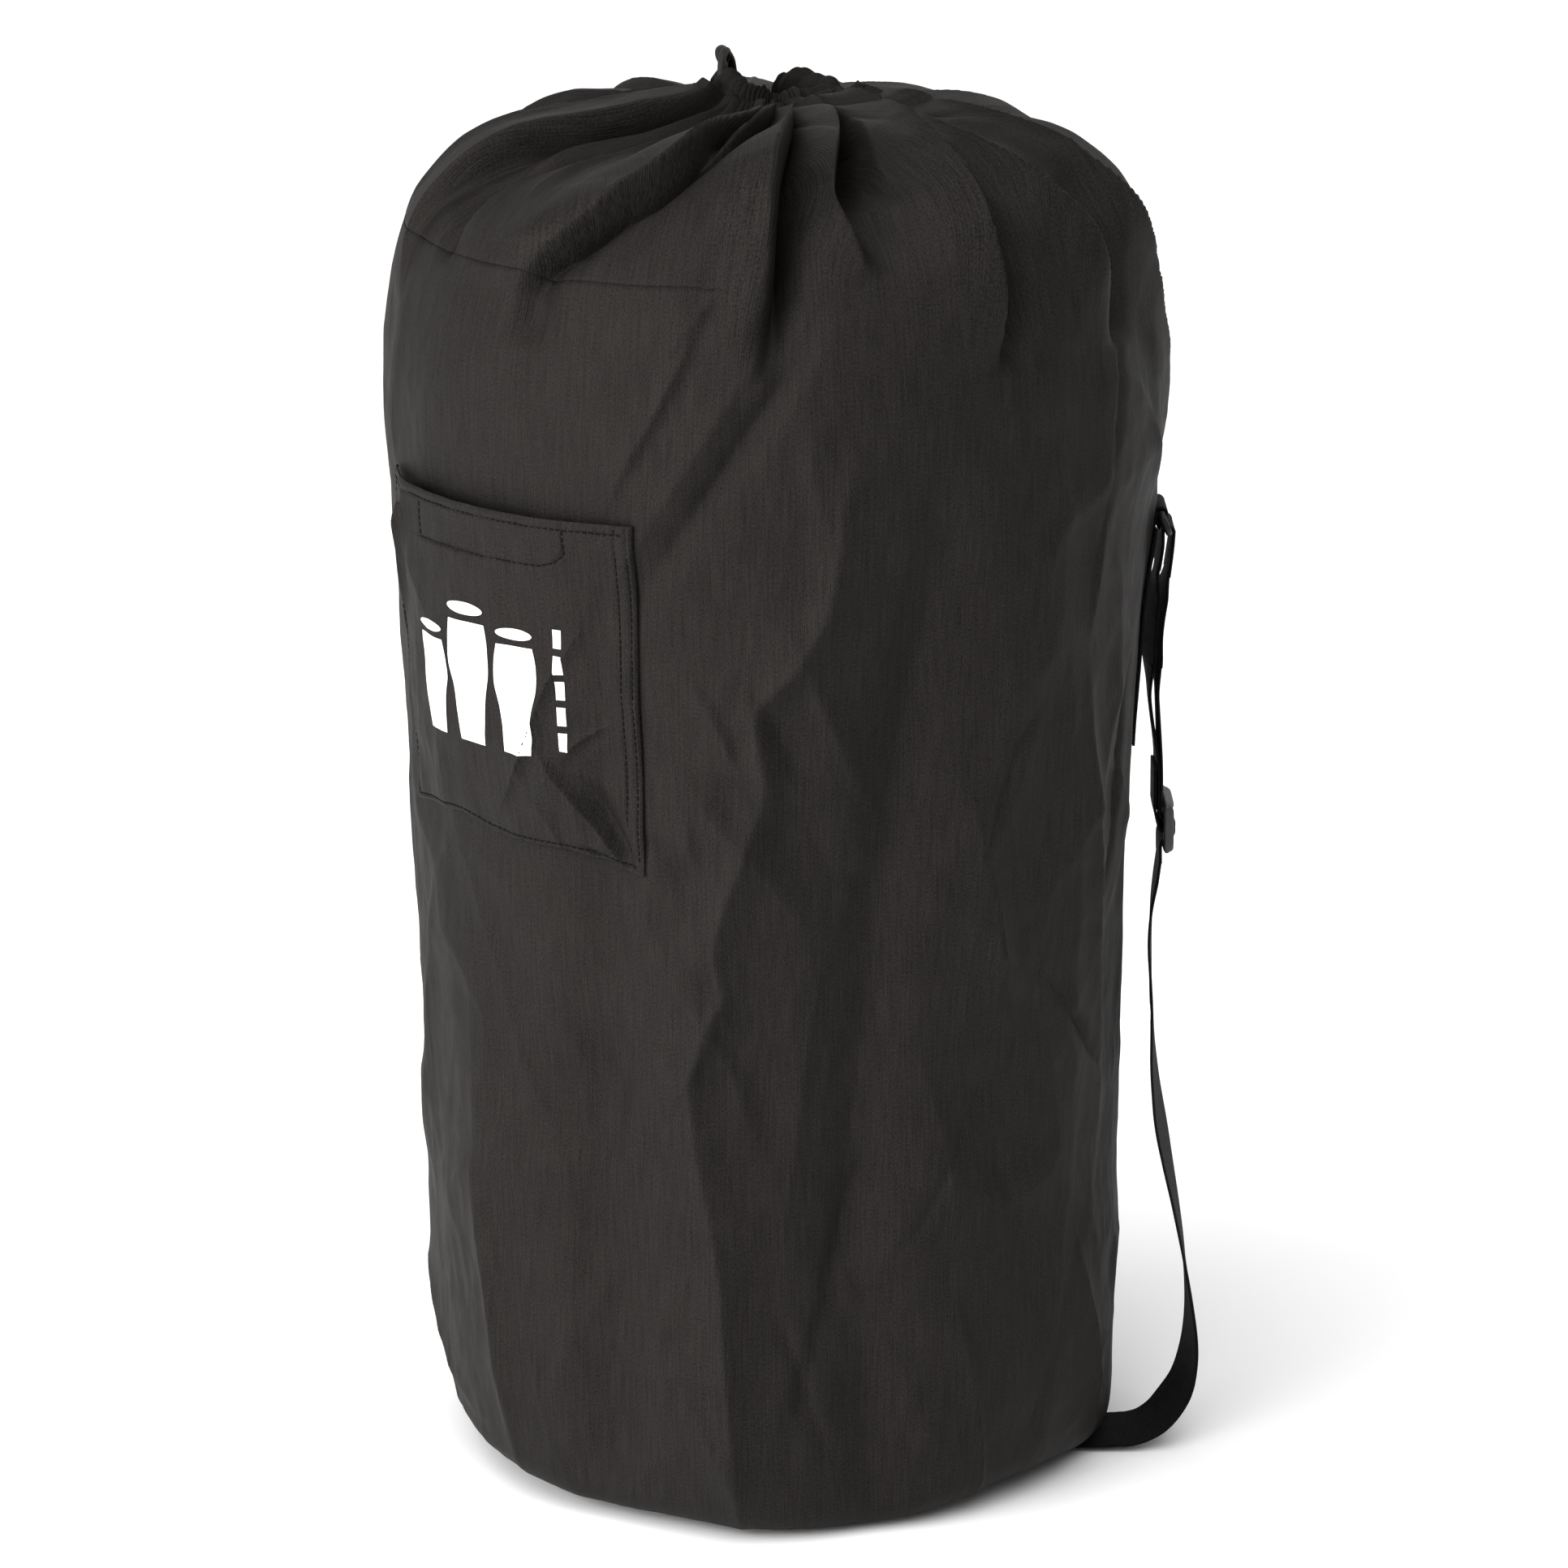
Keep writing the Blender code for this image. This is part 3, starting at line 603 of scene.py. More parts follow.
# (kind, [(azimuth, h, height in mm), ...] from the lower end up)
FOLDS = [
    ("roll", [(-101, .70, 0), (-101, .76, 5), (-100, .80, 9), (-99, .85, 12), (-96, .90, 12),
               (-90, .944, 6)]),
    ("roll", [(-75, .70, 0), (-77, .76, 5), (-77, .80, 10), (-78, .85, 12), (-78, .90, 11),
               (-74, .944, 5)]),
    ("groove", [(-60, .735, 0), (-62, .752, -5), (-64, .797, -8), (-56, .851, -8), (-48, .918, -4)]),
    ("pleat", [(-42, .730, 0), (-40, .753, 7), (-37.5, .765, 11), (-32, .79, 14), (-26, .812, 14),
               (-21, .845, 12), (-19, .89, 9), (-18, .944, 4)]),
    ("pleat", [(-30, .80, 0), (-20, .825, 6), (-13, .85, 10), (-9, .885, 11), (-8, .944, 5)]),
    ("pleat", [(-2.5, .69, 0), (-3, .731, 8), (-3.5, .757, 13), (-4, .79, 16), (-4, .82, 17), (-2, .86, 15),
               (1, .90, 12), (5, .944, 5)]),
    ("roll", [(15, .745, 0), (11.5, .769, 5), (7.5, .796, 9), (8, .83, 12), (12, .87, 13), (19, .91, 11),
               (27, .944, 5)]),
    ("pleat", [(35, .69, 0), (34, .72, 5), (32, .754, 9), (31.5, .78, 11), (32.5, .823, 11), (36, .87, 11),
               (42, .905, 10), (50, .944, 5)]),
    ("pleat", [(60, .69, 0), (58, .715, 4), (53.5, .753, 8), (48, .786, 10), (45.5, .83, 9), (49, .87, 8),
               (54, .908, 7), (62, .944, 4)]),
    ("line", [(56, .79, 0), (50, .81, 4), (50, .84, 5), (54, .88, 4), (60, .92, 2)]),
    ("pleat", [(86, .65, 0), (79, .70, 3), (72, .7465, 8), (69, .78, 10), (68, .823, 10), (72, .87, 10),
               (80, .90, 9), (88, .944, 5)]),
    ("roll", [(108, .65, 0), (104, .70, 4), (100, .75, 8), (97, .79, 11), (98, .84, 11), (103, .89, 10),
               (110, .944, 5)]),
    ("pleat", [(131, .68, 0), (128, .74, 7), (125, .79, 11), (127, .85, 11), (133, .944, 5)]),
    ("roll", [(152, .69, 0), (150, .75, 7), (146, .80, 11), (150, .87, 11), (155, .944, 5)]),
    ("pleat", [(172, .67, 0), (170, .73, 7), (168, .79, 12), (170, .86, 11), (176, .944, 5)]),
    ("roll", [(198, .69, 0), (194, .75, 6), (190, .80, 10), (193, .87, 11), (197, .944, 5)]),
    ("pleat", [(214, .68, 0), (213, .74, 8), (209, .79, 12), (211, .86, 11), (216, .944, 5)]),
    ("roll", [(237, .69, 0), (235, .75, 7), (231, .80, 11), (234, .87, 11), (238, .944, 5)]),
    ("crest", [(24, .80, 0), (25, .83, 3), (30, .87, 4.5), (36, .91, 4), (44, .944, 2)]),
    ("crest", [(40, .82, 0), (41, .85, 3.5), (46, .89, 4.5), (52, .92, 3.5), (58, .944, 2)]),
    ("crest", [(57, .78, 0), (56, .82, 3.5), (59, .86, 5), (66, .90, 4.5), (74, .944, 2)]),
    ("crest", [(84, .76, 0), (81, .80, 4), (84, .85, 5), (91, .90, 4), (98, .944, 2)]),
    ("crest", [(-88, .74, 0), (-88, .79, 4), (-88, .84, 5), (-85, .90, 4), (-82, .944, 2)]),
    ("crest", [(-60, .80, 0), (-62, .84, 3.5), (-60, .88, 4), (-55, .92, 3), (-50, .944, 1.5)]),
    ("crest", [(-48, .78, 0), (-47, .81, 3), (-42, .85, 4), (-36, .89, 4), (-31, .93, 2)]),
    ("notch", [(-39, .70, 0), (-39, .718, -6), (-38.5, .745, -8), (-35, .768, -5), (-30, .79, 0)]),
    ("notch", [(-9.5, .722, 0), (-9.5, .736, -3), (-7, .765, -3), (-6, .79, 0)]),
    ("notch", [(-1, .69, 0), (-1, .712, -7), (-.5, .75, -11), (1, .80, -11), (4, .86, -8), (12, .92, -4),
               (16, .944, 0)]),
    ("notch", [(37, .685, 0), (37.5, .708, -6), (38, .737, -9), (38, .765, -8), (38, .80, -4),
               (40, .83, 0)]),
    ("notch", [(62, .685, 0), (61, .704, -5), (60, .7385, -8), (62, .772, -6), (64, .80, 0)]),
    ("soft", [(22, .79, 0), (20, .82, -6), (22, .86, -7), (28, .90, -4), (34, .93, 0)]),
    ("line", [(-15, .70, 0), (-14, .709, 1.6), (-10, .73, 2.2), (-6.5, .75, 0)]),
    ("line", [(-26, .60, 0), (-21, .64, 1.5), (-17, .668, 2), (-13, .70, 2), (-9.5, .732, 0)]),
    ("groove", [(-19, .56, 0), (-15, .59, -2.5), (-8, .633, -4), (-2, .67, -4), (3, .70, -3),
               (9, .744, 0)]),
    ("crest", [(-23, .57, 0), (-17, .61, 2.5), (-9, .66, 3), (-3, .70, 2), (2, .74, 0)]),
    ("bend", [(13, .68, 0), (10, .60, 3), (8, .56, 4), (4, .53, 4), (-2, .50, 4), (-1, .453, 4),
               (-8, .37, 4), (-7.5, .327, 4), (-12, .28, 4), (-11, .235, 5), (-8, .166, 6), (-6, .06, 7),
               (-5, .0, 5)]),
    ("crest", [(11, .64, 0), (10, .60, 1.5), (8, .56, 2.6), (4, .53, 2.6), (-2, .50, 2.4), (-1, .453, 2.6),
               (-8, .37, 2.6), (-7.5, .327, 2.4), (-12, .28, 2.6), (-11, .235, 2.6), (-8, .166, 2.6),
               (-6, .06, 2.4), (-5, .0, 1)]),
    ("soft", [(-24, .60, 0), (-26, .50, -4), (-27, .38, -5), (-28, .24, -6), (-27, .10, -6),
               (-26, .0, -3)]),
    ("soft", [(26, .66, 0), (24, .56, -5), (20, .46, -6), (16, .34, -6), (14, .20, -6), (16, .08, -5),
               (17, .0, -2)]),
    ("crest", [(2, .56, 0), (6, .52, 2.2), (11, .475, 2.4), (15, .44, 0)]),
    ("crest", [(-14, .47, 0), (-9, .44, 2.4), (-3, .415, 2.6), (3, .385, 1.8), (6, .36, 0)]),
    ("crest", [(-17, .36, 0), (-14, .335, 2.2), (-8, .30, 2.6), (-4, .262, 2.2), (-2, .23, 0)]),
    ("groove", [(-4, .535, 0), (0, .50, -2.4), (3, .475, -2.4), (4, .445, 0)]),
    ("crest", [(-34, .38, 0), (-30, .345, 1.6), (-25, .32, 1.8), (-21, .28, 0)]),
    ("crest", [(28, .47, 0), (33, .42, 1.8), (37, .36, 2.0), (39, .30, 0)]),
    ("crest", [(22, .31, 0), (27, .26, 1.8), (31, .20, 2.0), (33, .14, 0)]),
    ("crest", [(-16, .105, 0), (-12, .08, 2), (-8, .05, 2.5), (-5, .01, 0)]),
    ("crest", [(-54, .21, 0), (-53, .17, 2), (-50, .09, 2.5), (-48.5, .02, 1)]),
    ("facet", [(-56, .40, 0), (-55, .30, 3), (-53, .18, 5), (-50, .08, 5), (-49, .0, 3)]),
    ("crest", [(54, .52, 0), (56, .45, 2.5), (60, .36, 3), (64, .27, 2.5), (66, .20, 0)]),
    ("crest", [(57, .17, 0), (60, .12, 3), (66, .06, 3), (71, .01, 0)]),
    ("facet", [(48, .60, 0), (50, .50, 3), (54, .38, 5), (55, .24, 5), (52, .10, 5), (52, .0, 3)]),
    ("groove", [(-14, .36, 0), (-12, .385, -2.5), (-14, .405, -2.5), (-18, .425, 0)]),
    ("soft", [(9, .39, 0), (6, .41, -3), (2, .435, -3), (-3, .465, 0)]),
    ("groove", [(12, .39, 0), (8.5, .41, -2.5), (4, .44, -2), (1, .465, 0)]),
    ("soft", [(2, .22, 0), (-2, .26, -3), (-6, .30, -3.5), (-10, .35, 0)]),
    ("facet", [(98, .62, 0), (100, .45, 4), (97, .25, 5), (99, .05, 4)]),
    ("facet", [(141, .60, 0), (138, .42, 4), (143, .22, 5), (140, .04, 4)]),
    ("facet", [(188, .58, 0), (184, .44, 3), (189, .25, 5), (186, .04, 4)]),
    ("facet", [(229, .61, 0), (233, .45, 4), (230, .24, 5), (233, .04, 4)]),
    ("facet", [(-97, .58, 0), (-95, .42, 3), (-98, .22, 4), (-96, .04, 3)]),
]


def loose_folds():
    """Short shallow wrinkles scattered over the wall, running mostly upwards."""
    rng = np.random.default_rng(41)
    made = []
    for _ in range(120):
        az, h = rng.uniform(-180, 180), rng.uniform(0.03, 0.70)
        reach, drift = rng.uniform(0.03, 0.11), rng.normal(0, 9)
        size = rng.choice([-1, 1]) * rng.uniform(0.5, 1.6)
        kind = rng.choice(["line", "crest", "groove", "soft"])
        made.append((kind, [(az - drift, h - reach, 0), (az - drift * 0.3, h - reach * 0.4, size),
                            (az + drift * 0.3, h + reach * 0.4, size), (az + drift, h + reach, 0)]))
    return made


# Gains on the heights of folds: those that reach the collar, those at its front right,
# those on the wall, those on the pocket and those round the back.
COLLAR_GAIN, RIGHT_GAIN, WALL_GAIN, POCKET_GAIN, BACK_GAIN = 1.55, 2.2, 2.05, 1.7, 0.85
ON_COLLAR_H = 0.735


def shape_of(fold, low_gain=WALL_GAIN):
    """Fold as arrays of h, azimuth and height along its smooth line, rising."""
    kind, keys = fold
    keys = sorted(keys, key=lambda k: k[1])
    if keys[0][2]:
        keys = [(keys[0][0], keys[0][1] - 0.05, 0)] + keys
    line = smooth_line(keys, 10)
    on_collar = line[:, 1].max() > ON_COLLAR_H
    gain = COLLAR_GAIN if on_collar else low_gain
    middle = wrap(line[:, 0].mean())
    if 5 < middle < 92 and on_collar:
        gain = RIGHT_GAIN
    if abs(middle) > 92:
        gain = BACK_GAIN
    return FOLD_KINDS[kind], line[:, 1], line[:, 0], gain * line[:, 2] / 1000


FOLD_SHAPES = [shape_of(fold) for fold in FOLDS + loose_folds()]
RUFFLE_KEYS = [(.83, 0), (.87, 1.4), (.905, 3.2), (.93, 3.6), (.944, 3.0)]
PUCKERS = 40


def fold_profile(across, reach, kind):
    """Height of a fold at a distance across it, 1 at its crest."""
    left, right, dip, dip_width, peak = kind
    scale = reach / 1000
    side = np.where(across < 0, left * scale, right * scale)
    shape = np.exp(-(np.abs(across) / side) ** peak)
    if dip:
        past = np.clip(across / (right * scale), 0, None)
        shape = shape - dip * (1 - np.exp(-past)) * bell(across - 1.6 * right * scale, dip_width * scale)
    return shape


def folds_at(az, h, radius):
    """Outward height and sideways shift of the folds."""
    height, shift = np.zeros_like(h), np.zeros_like(h)
    for kind, line_h, line_az, line_up in FOLD_SHAPES:
        inside = (h > line_h[0]) & (h < line_h[-1])
        if not inside.any():
            continue
        hh, rr = h[inside], radius[inside]
        crest = np.interp(hh, line_h, line_az)
        up = np.interp(hh, line_h, line_up)
        across = rr * np.radians(wrap(az[inside] - crest))
        slope = rr * np.radians(np.interp(hh, line_h, np.gradient(line_az, line_h)))
        across = across / np.sqrt(1 + slope ** 2)
        reach = np.clip(rr / 0.16, 0.16, 1.0)
        height[inside] += up * fold_profile(across, reach, kind)
        if kind[2] > 0.5:
            shift[inside] += 0.62 * up * bell(across, 0.009 * reach)
    return height, shift


def gather_lift(az):
    """How far the gathered neck stands above (z) and beyond (r) its mean ring: two lobes, pinched between."""
    lift = (0.0072 * bell(wrap(az + 84), 34) - 0.0050 * bell(wrap(az - 8), 40)
            - 0.0005 * bell(wrap(az - 70), 20) + 0.0012 * bell(wrap(az - 132), 30)
            - 0.0100 * bell(wrap(az - 190), 26) - 0.0030 * bell(wrap(az - 228), 20))
    spread = (-0.0215 * bell(wrap(az), 62) - 0.0215 * bell(wrap(az - 184), 58)
              + 0.0030 * bell(wrap(az + 92), 22) + 0.0085 * bell(wrap(az - 94), 34))
    return lift, spread


def pucker_phase(az):
    """Phase of the gather's puckers: tight ribs in front, large soft puffs at the back."""
    dense = np.linspace(-180, 180, 721)
    rate = 1.0 - 0.70 * bell(wrap(dense - 132), 36) - 0.60 * bell(wrap(dense + 98), 22)
    rate = rate + 0.45 * bell(wrap(dense - 50), 24) + 0.2 * bell(wrap(dense + 30), 30)
    total = np.r_[0, np.cumsum((rate[1:] + rate[:-1]) / 2)]
    total *= PUCKERS / total[-1]
    return np.interp(wrap(az), dense, total)


def corner_tuck(az):
    """Rise and draw-in of the soft bottom corner, in metres."""
    rise = (0.0135 * bell(wrap(az + 82), 25) + 0.0060 * bell(wrap(az + 50), 16)
            + 0.0055 * bell(wrap(az + 16), 24) + 0.0098 * bell(wrap(az - 50), 22)
            + 0.0050 * bell(wrap(az - 190), 50))
    return rise, 0.9 * rise


def cloth_surface(az, h, lift=0.0):
    """World points on the outside of the cloth, lifted outwards by lift."""
    az, h, lift = np.broadcast_arrays(*(np.asarray(x, float) for x in (az, h, lift)))
    shape = az.shape
    az, h, lift = az.reshape(-1), h.reshape(-1), lift.reshape(-1)
    radius, z = np.interp(h, OUT_H, OUT_R), np.interp(h, OUT_H, OUT_Z)
    slope_r = np.interp(h, OUT_H, np.gradient(OUT_R, OUT_H))
    slope_z = np.interp(h, OUT_H, np.gradient(OUT_Z, OUT_H))
    size = np.hypot(slope_r, slope_z)
    out_r, out_z = slope_z / size, -slope_r / size
    height, shift = folds_at(az, h, radius)
    turn = az / 360.0
    floor_fade = ramp(h, BOTTOM_H, 0.03)
    neck_fade = 1 - ramp(h, 0.90, 0.944)
    broad = lattice_noise(turn * 14 + 0.35 * np.sin(9 * h), h * 6.5, 14, 3)
    middle = lattice_noise(turn * 34 + 1.4 * h, h * 15, 34, 5)
    ridge = 1 - np.abs(lattice_noise(turn * 58 - 2.0 * h, h * 21, 58, 8))
    fine = lattice_noise(turn * 150, h * 70, 150, 11)
    uneven = 0.6 + 0.5 * lattice_noise(turn * 5, h * 4 + 3, 5, 31)
    drift_x, drift_y = 0.5 * broad + 0.2 * middle, 0.5 * lattice_noise(turn * 9, h * 9, 9, 14)
    large = sag_noise(turn * 15 + 0.9 * h + drift_x, h * 5.2 + drift_y, 15, 21)
    small = sag_noise(turn * 36 - 2.6 * h + drift_x, h * 13 + drift_y, 36, 22)
    wall_only = 1 - ramp(h, 0.66, 0.76)
    height = height - 0.0040 * ramp(h, 0.74, 0.79) * neck_fade
    height = height + 0.0020 * bell(wrap(az + 140), 50) * ramp(h, 0.74, 0.80) * neck_fade
    height = height + 0.0075 * bell(wrap(az - 86), 28) * bell(h - 0.635, 0.055)
    height = height - 0.0070 * bell(wrap(az + 78), 38) * (1 - ramp(h, 0.02, 0.21))
    height = height + neck_fade * (0.0013 * broad + 0.0008 * middle + 0.0008 * (ridge - 0.75)
                                   + 0.00016 * fine)
    height = height + wall_only * uneven * (0.0095 * large + 0.0028 * small)
    height = height + (1 - wall_only) * neck_fade * 0.0016 * small
    behind_strap = bell(wrap(az - 93), 16) * bell(h - 0.42, 0.12)
    height = height * (1 - behind_strap) - 0.0025 * behind_strap
    height = height * (0.25 + 0.75 * floor_fade)
    count = np.interp(h, [k[0] for k in RUFFLE_KEYS], [k[1] for k in RUFFLE_KEYS]) / 1000
    height = height + count * (np.abs(np.sin(np.pi * pucker_phase(az))) ** 0.7 - 0.4)
    rise, spread = gather_lift(az)
    toward_neck = ramp(h, 0.86, 0.944)
    corner_rise, corner_in = corner_tuck(az)
    low = 1 - ramp(h, BOTTOM_H, 0.085)
    radius_now = radius + (height + lift) * out_r + spread * toward_neck - corner_in * low
    z_now = z + (height + lift) * out_z + rise * toward_neck + corner_rise * low
    a = np.radians(az)
    points = np.stack([radius_now * np.sin(a) + shift * np.cos(a),
                       -radius_now * np.cos(a) + shift * np.sin(a),
                       np.maximum(z_now, 0.0004)], -1)
    return points.reshape(*shape, 3)


def weave_at(az, h):
    """Cloth coordinates for the materials: metres round the bag and up."""
    return np.stack([np.radians(az) * WEAVE_R, h, 0 * h], -1)


def cloth_piece(name, az, h, lift=0.0, thickness=CLOTH_T, closed=False):
    """Sheet on the cloth's surface over the given azimuths and heights."""
    grid_az, grid_h = np.meshgrid(az, h)
    points = cloth_surface(grid_az, grid_h, lift)
    made = grid_mesh(name, points, closed_u=closed, extra=weave_at(grid_az, grid_h))
    return thicken(made, thickness)


def seam_hidden(az):
    """0 where the collar seam shows as a line, 1 where the cloth hides it."""
    return ramp(wrap(az), -16, -2) * (1 - ramp(wrap(az), 95, 120))


def make_shell():
    """Wall, collar and base, each its own sheet."""
    az = SEAM_AZ + np.linspace(0, 360, 640, endpoint=False)
    rows = np.linspace(BOTTOM_H, SEAM_H + 0.001, 290)
    grid_az, grid_h = np.meshgrid(az, rows)
    under = -0.0004 * seam_hidden(grid_az) * np.clip((grid_h - SEAM_H + 0.022) / 0.023, 0, 1) ** 2
    wall = cloth_piece("wall_cloth", az, rows, lift=under, closed=True)
    finish_piece(wall, CLOTH, nodes=["body_panel"])
    az = SEAM_AZ + np.linspace(0, 360, 1000, endpoint=False)
    grid_az, share = np.meshgrid(az, np.linspace(0, 1, 200))
    hidden = seam_hidden(grid_az)
    edge = SEAM_H - 0.003 - 0.019 * hidden
    grid_h = edge + share * (NECK_H - edge)
    tuck = -0.0012 * (1 - hidden) * (1 - ramp(grid_h, SEAM_H - 0.001, SEAM_H + 0.0035))
    tuck = tuck - 0.0004 * hidden * np.clip((SEAM_H + 0.003 - grid_h) / 0.025, 0, 1) ** 2
    points = cloth_surface(grid_az, grid_h, tuck)
    collar = grid_mesh("collar_cloth", points, closed_u=True, extra=weave_at(grid_az, grid_h))
    thicken(collar, CLOTH_T)
    finish_piece(collar, CLOTH, nodes=["top_collar"])

    rings = np.linspace(0.002, BASE_R + 0.001, 90)
    turn = np.radians(np.linspace(0, 360, 200, endpoint=False))
    rr, aa = np.meshgrid(rings, turn, indexing="ij")
    pucker = 0.0006 * np.abs(np.sin(31 * aa + np.sin(5 * aa))) * ramp(rr, 0.155, BASE_R)
    rise, draw = corner_tuck(np.degrees(aa))
    outer = ramp(rr, 0.11, BASE_R)
    rr = rr - draw * outer
    points = np.stack([rr * np.sin(aa), -rr * np.cos(aa), 0.0012 + pucker + rise * outer], -1)
    extra = np.stack([points[..., 0], points[..., 1], 0 * rr], -1)
    base = thicken(grid_mesh("base_cloth", points[::-1], closed_u=True, extra=extra[::-1]), CLOTH_T, 1.0)
    finish_piece(base, CLOTH, nodes=["base_panel"])


def make_seam_tapes():
    """Tapes that bind the seams inside the bag."""
    az = SEAM_AZ + np.linspace(0, 360, 320, endpoint=False)
    ring = cloth_piece("collar_seam_binding", az, np.linspace(SEAM_H - 0.009, SEAM_H + 0.007, 8),
                       lift=-0.0032, thickness=TAPE_T, closed=True)
    finish_piece(ring, TAPE_CLOTH, nodes=["collar_seam_tape"])
    side = cloth_piece("side_seam_binding", np.linspace(SEAM_AZ - 2.5, SEAM_AZ + 2.5, 12),
                       np.linspace(0.03, 0.70, 200), lift=-0.0018, thickness=TAPE_T)
    finish_piece(side, TAPE_CLOTH, nodes=["side_seam_tape"])
    low = cloth_piece("base_seam_binding", az, np.linspace(BOTTOM_H + 0.001, BOTTOM_H + 0.014, 8),
                      lift=-0.0018, thickness=TAPE_T, closed=True)
    finish_piece(low, TAPE_CLOTH, nodes=["base_binding"])


# ---- drawstring channel ----------------------------------------------------------------------
def make_channel():
    """The rolled, puckered hem round the mouth, and the cord that runs inside it."""
    az = np.linspace(-180, 180, 760, endpoint=False)
    phi = np.linspace(0, 2 * np.pi, 56, endpoint=False)
    aa, pp = np.meshgrid(az, phi)
    rise, spread = gather_lift(aa)
    phase = pucker_phase(aa)
    rib = np.abs(np.sin(np.pi * phase)) ** 0.55
    number = np.floor(phase).astype(int) % PUCKERS
    rng = np.random.default_rng(7)
    swell = rng.uniform(0.55, 1.30, PUCKERS)[number]
    big = bell(wrap(aa - 132), 34) + 0.35 * bell(wrap(aa + 98), 20)
    tube = CHANNEL_TUBE * (0.52 + 0.40 * rib * swell * (1 - 0.55 * big) + 0.16 * big
                           + 0.50 * big * (0.75 + 0.25 * rib))
    lean = rng.uniform(-0.7, 0.7, PUCKERS)[number] * rib
    crumple = lattice_noise((aa + 180) / 360 * 60, 5 + 1.2 * pp, 60, 19)
    flare = 0.55 * bell(np.degrees(pp) - 315, 36) * (1 - 0.6 * big)
    tube = tube * (1 + 0.12 * crumple + 0.10 * np.cos(2 * pp + 3 * lean) + flare)
    thin = 0.72 + 0.28 * big
    radius = CHANNEL_R + spread + thin * tube * np.cos(pp + 0.35 * lean)
    z = CHANNEL_Z + rise + tube * np.sin(pp + 0.35 * lean) - 0.0012
    a = np.radians(aa)
    points = np.stack([radius * np.sin(a), -radius * np.cos(a), np.minimum(z, 0.8300)], -1)
    extra = np.stack([a * 0.12, CHANNEL_TUBE * pp, 0 * a], -1)
    casing = grid_mesh("casing_cloth", points, closed_u=True, closed_v=True, extra=extra)
    finish_piece(casing, CLOTH, nodes=["drawstring_channel"])
    ring_az = np.linspace(-88, 268, 300)
    rise, spread = gather_lift(ring_az)
    a = np.radians(ring_az)
    line = np.stack([(CHANNEL_R + spread) * np.sin(a), -(CHANNEL_R + spread) * np.cos(a),
                     CHANNEL_Z + rise - 0.0012], 1)
    inside = braided_tube("cord_in_casing", line, CORD_D, spacing=0.001)
    finish_piece(inside, CORD, nodes=["drawstring_in_channel"])


# ---- stitching -------------------------------------------------------------------------------
def stitch_run(name, points, outward, length=0.0030, gap=0.0011, radius=0.00030):
    """A row of thread stitches along a line on the cloth, joined in one mesh."""
    step = length + gap
    points = np.asarray(points, float)
    run = distance_along(points)
    starts = np.arange(0, run[-1] - length, step)
    shape = np.array([(0.0, -0.7), (0.12, 0.25), (0.3, 0.62), (0.5, 0.7), (0.7, 0.62), (0.88, 0.25),
                      (1.0, -0.7)])
    verts, faces = [], []
    sides = 6
    around = np.linspace(0, 2 * np.pi, sides, endpoint=False)
    for start in starts:
        centres, ups = [], []
        for along, up in shape:
            at = start + along * length
            here = np.array([np.interp(at, run, points[:, i]) for i in range(3)])
            out = np.array([np.interp(at, run, outward[:, i]) for i in range(3)])
            out /= np.linalg.norm(out)
            centres.append(here + out * up * radius * 1.3)
            ups.append(out)
        centres, ups = np.array(centres), np.array(ups)
        tangent = np.gradient(centres, axis=0)
        tangent /= np.linalg.norm(tangent, axis=1)[:, None]
        side = np.cross(tangent, ups)
        side /= np.linalg.norm(side, axis=1)[:, None]
        first = len(verts)
        for c, s, u in zip(centres, side, ups):
            for a in around:
                verts.append(c + radius * (math.cos(a) * s + math.sin(a) * u))
        rings = len(shape)
        for i in range(rings - 1):
            for j in range(sides):
                k = (j + 1) % sides
                faces.append((first + i * sides + j, first + i * sides + k,
                              first + (i + 1) * sides + k, first + (i + 1) * sides + j))
        faces.append(tuple(first + j for j in range(sides))[::-1])
        faces.append(tuple(first + (rings - 1) * sides + j for j in range(sides)))
    mesh = bpy.data.meshes.new(name)
    mesh.from_pydata([tuple(v) for v in verts], [], faces)
    mesh.shade_smooth()
    return linked(name, mesh)


def stitches_on(name, surface, keys, body="bag", slot="cloth", per_span=24, **sizes):
    """Stitches along (u, v) keys on a surface function."""
    line = np.vstack([np.linspace(a, b, per_span, endpoint=False) for a, b in zip(keys, keys[1:])]
                     + [[keys[-1]]])
    on = surface(line[:, 0], line[:, 1], 0.0)
    outward = surface(line[:, 0], line[:, 1], 0.001) - on
    return finish_piece(stitch_run(name, on, outward, **sizes), THREAD, body)


# ---- pocket ----------------------------------------------------------------------------------
POCKET_H = (0.4035, 0.6085)
POCKET_STAND = 0.0105
POCKET_FOOT = [(-72, 5.0), (-64, 9.0), (-54, 14.0), (-46, 6.0), (-33, 4.5), (-26.5, 0.5),
               (-23, -2.5), (-19.5, -3.5)]


def pocket_row(az, v):
    """h of the pocket's cloth at a share v of the way up, with its sagging, uneven bottom edge."""
    foot = np.interp(az, [k[0] for k in POCKET_FOOT], [k[1] / 1000 for k in POCKET_FOOT])
    return POCKET_H[0] + (POCKET_H[1] - POCKET_H[0]) * v + foot * (1 - v) ** 3


def pocket_stand(az, h):
    """How far the pocket's cloth stands off the wall."""
    u = (az - POCKET_AZ[0]) / (POCKET_AZ[1] - POCKET_AZ[0])
    v = (h - POCKET_H[0]) / (POCKET_H[1] - POCKET_H[0])
    side = np.sin(np.pi * np.clip(u, 0, 1)) ** 0.5
    rise = np.sin(0.5 * np.pi * np.clip(2.2 * v, 0, 1))
    return 0.0010 + POCKET_STAND * side * rise


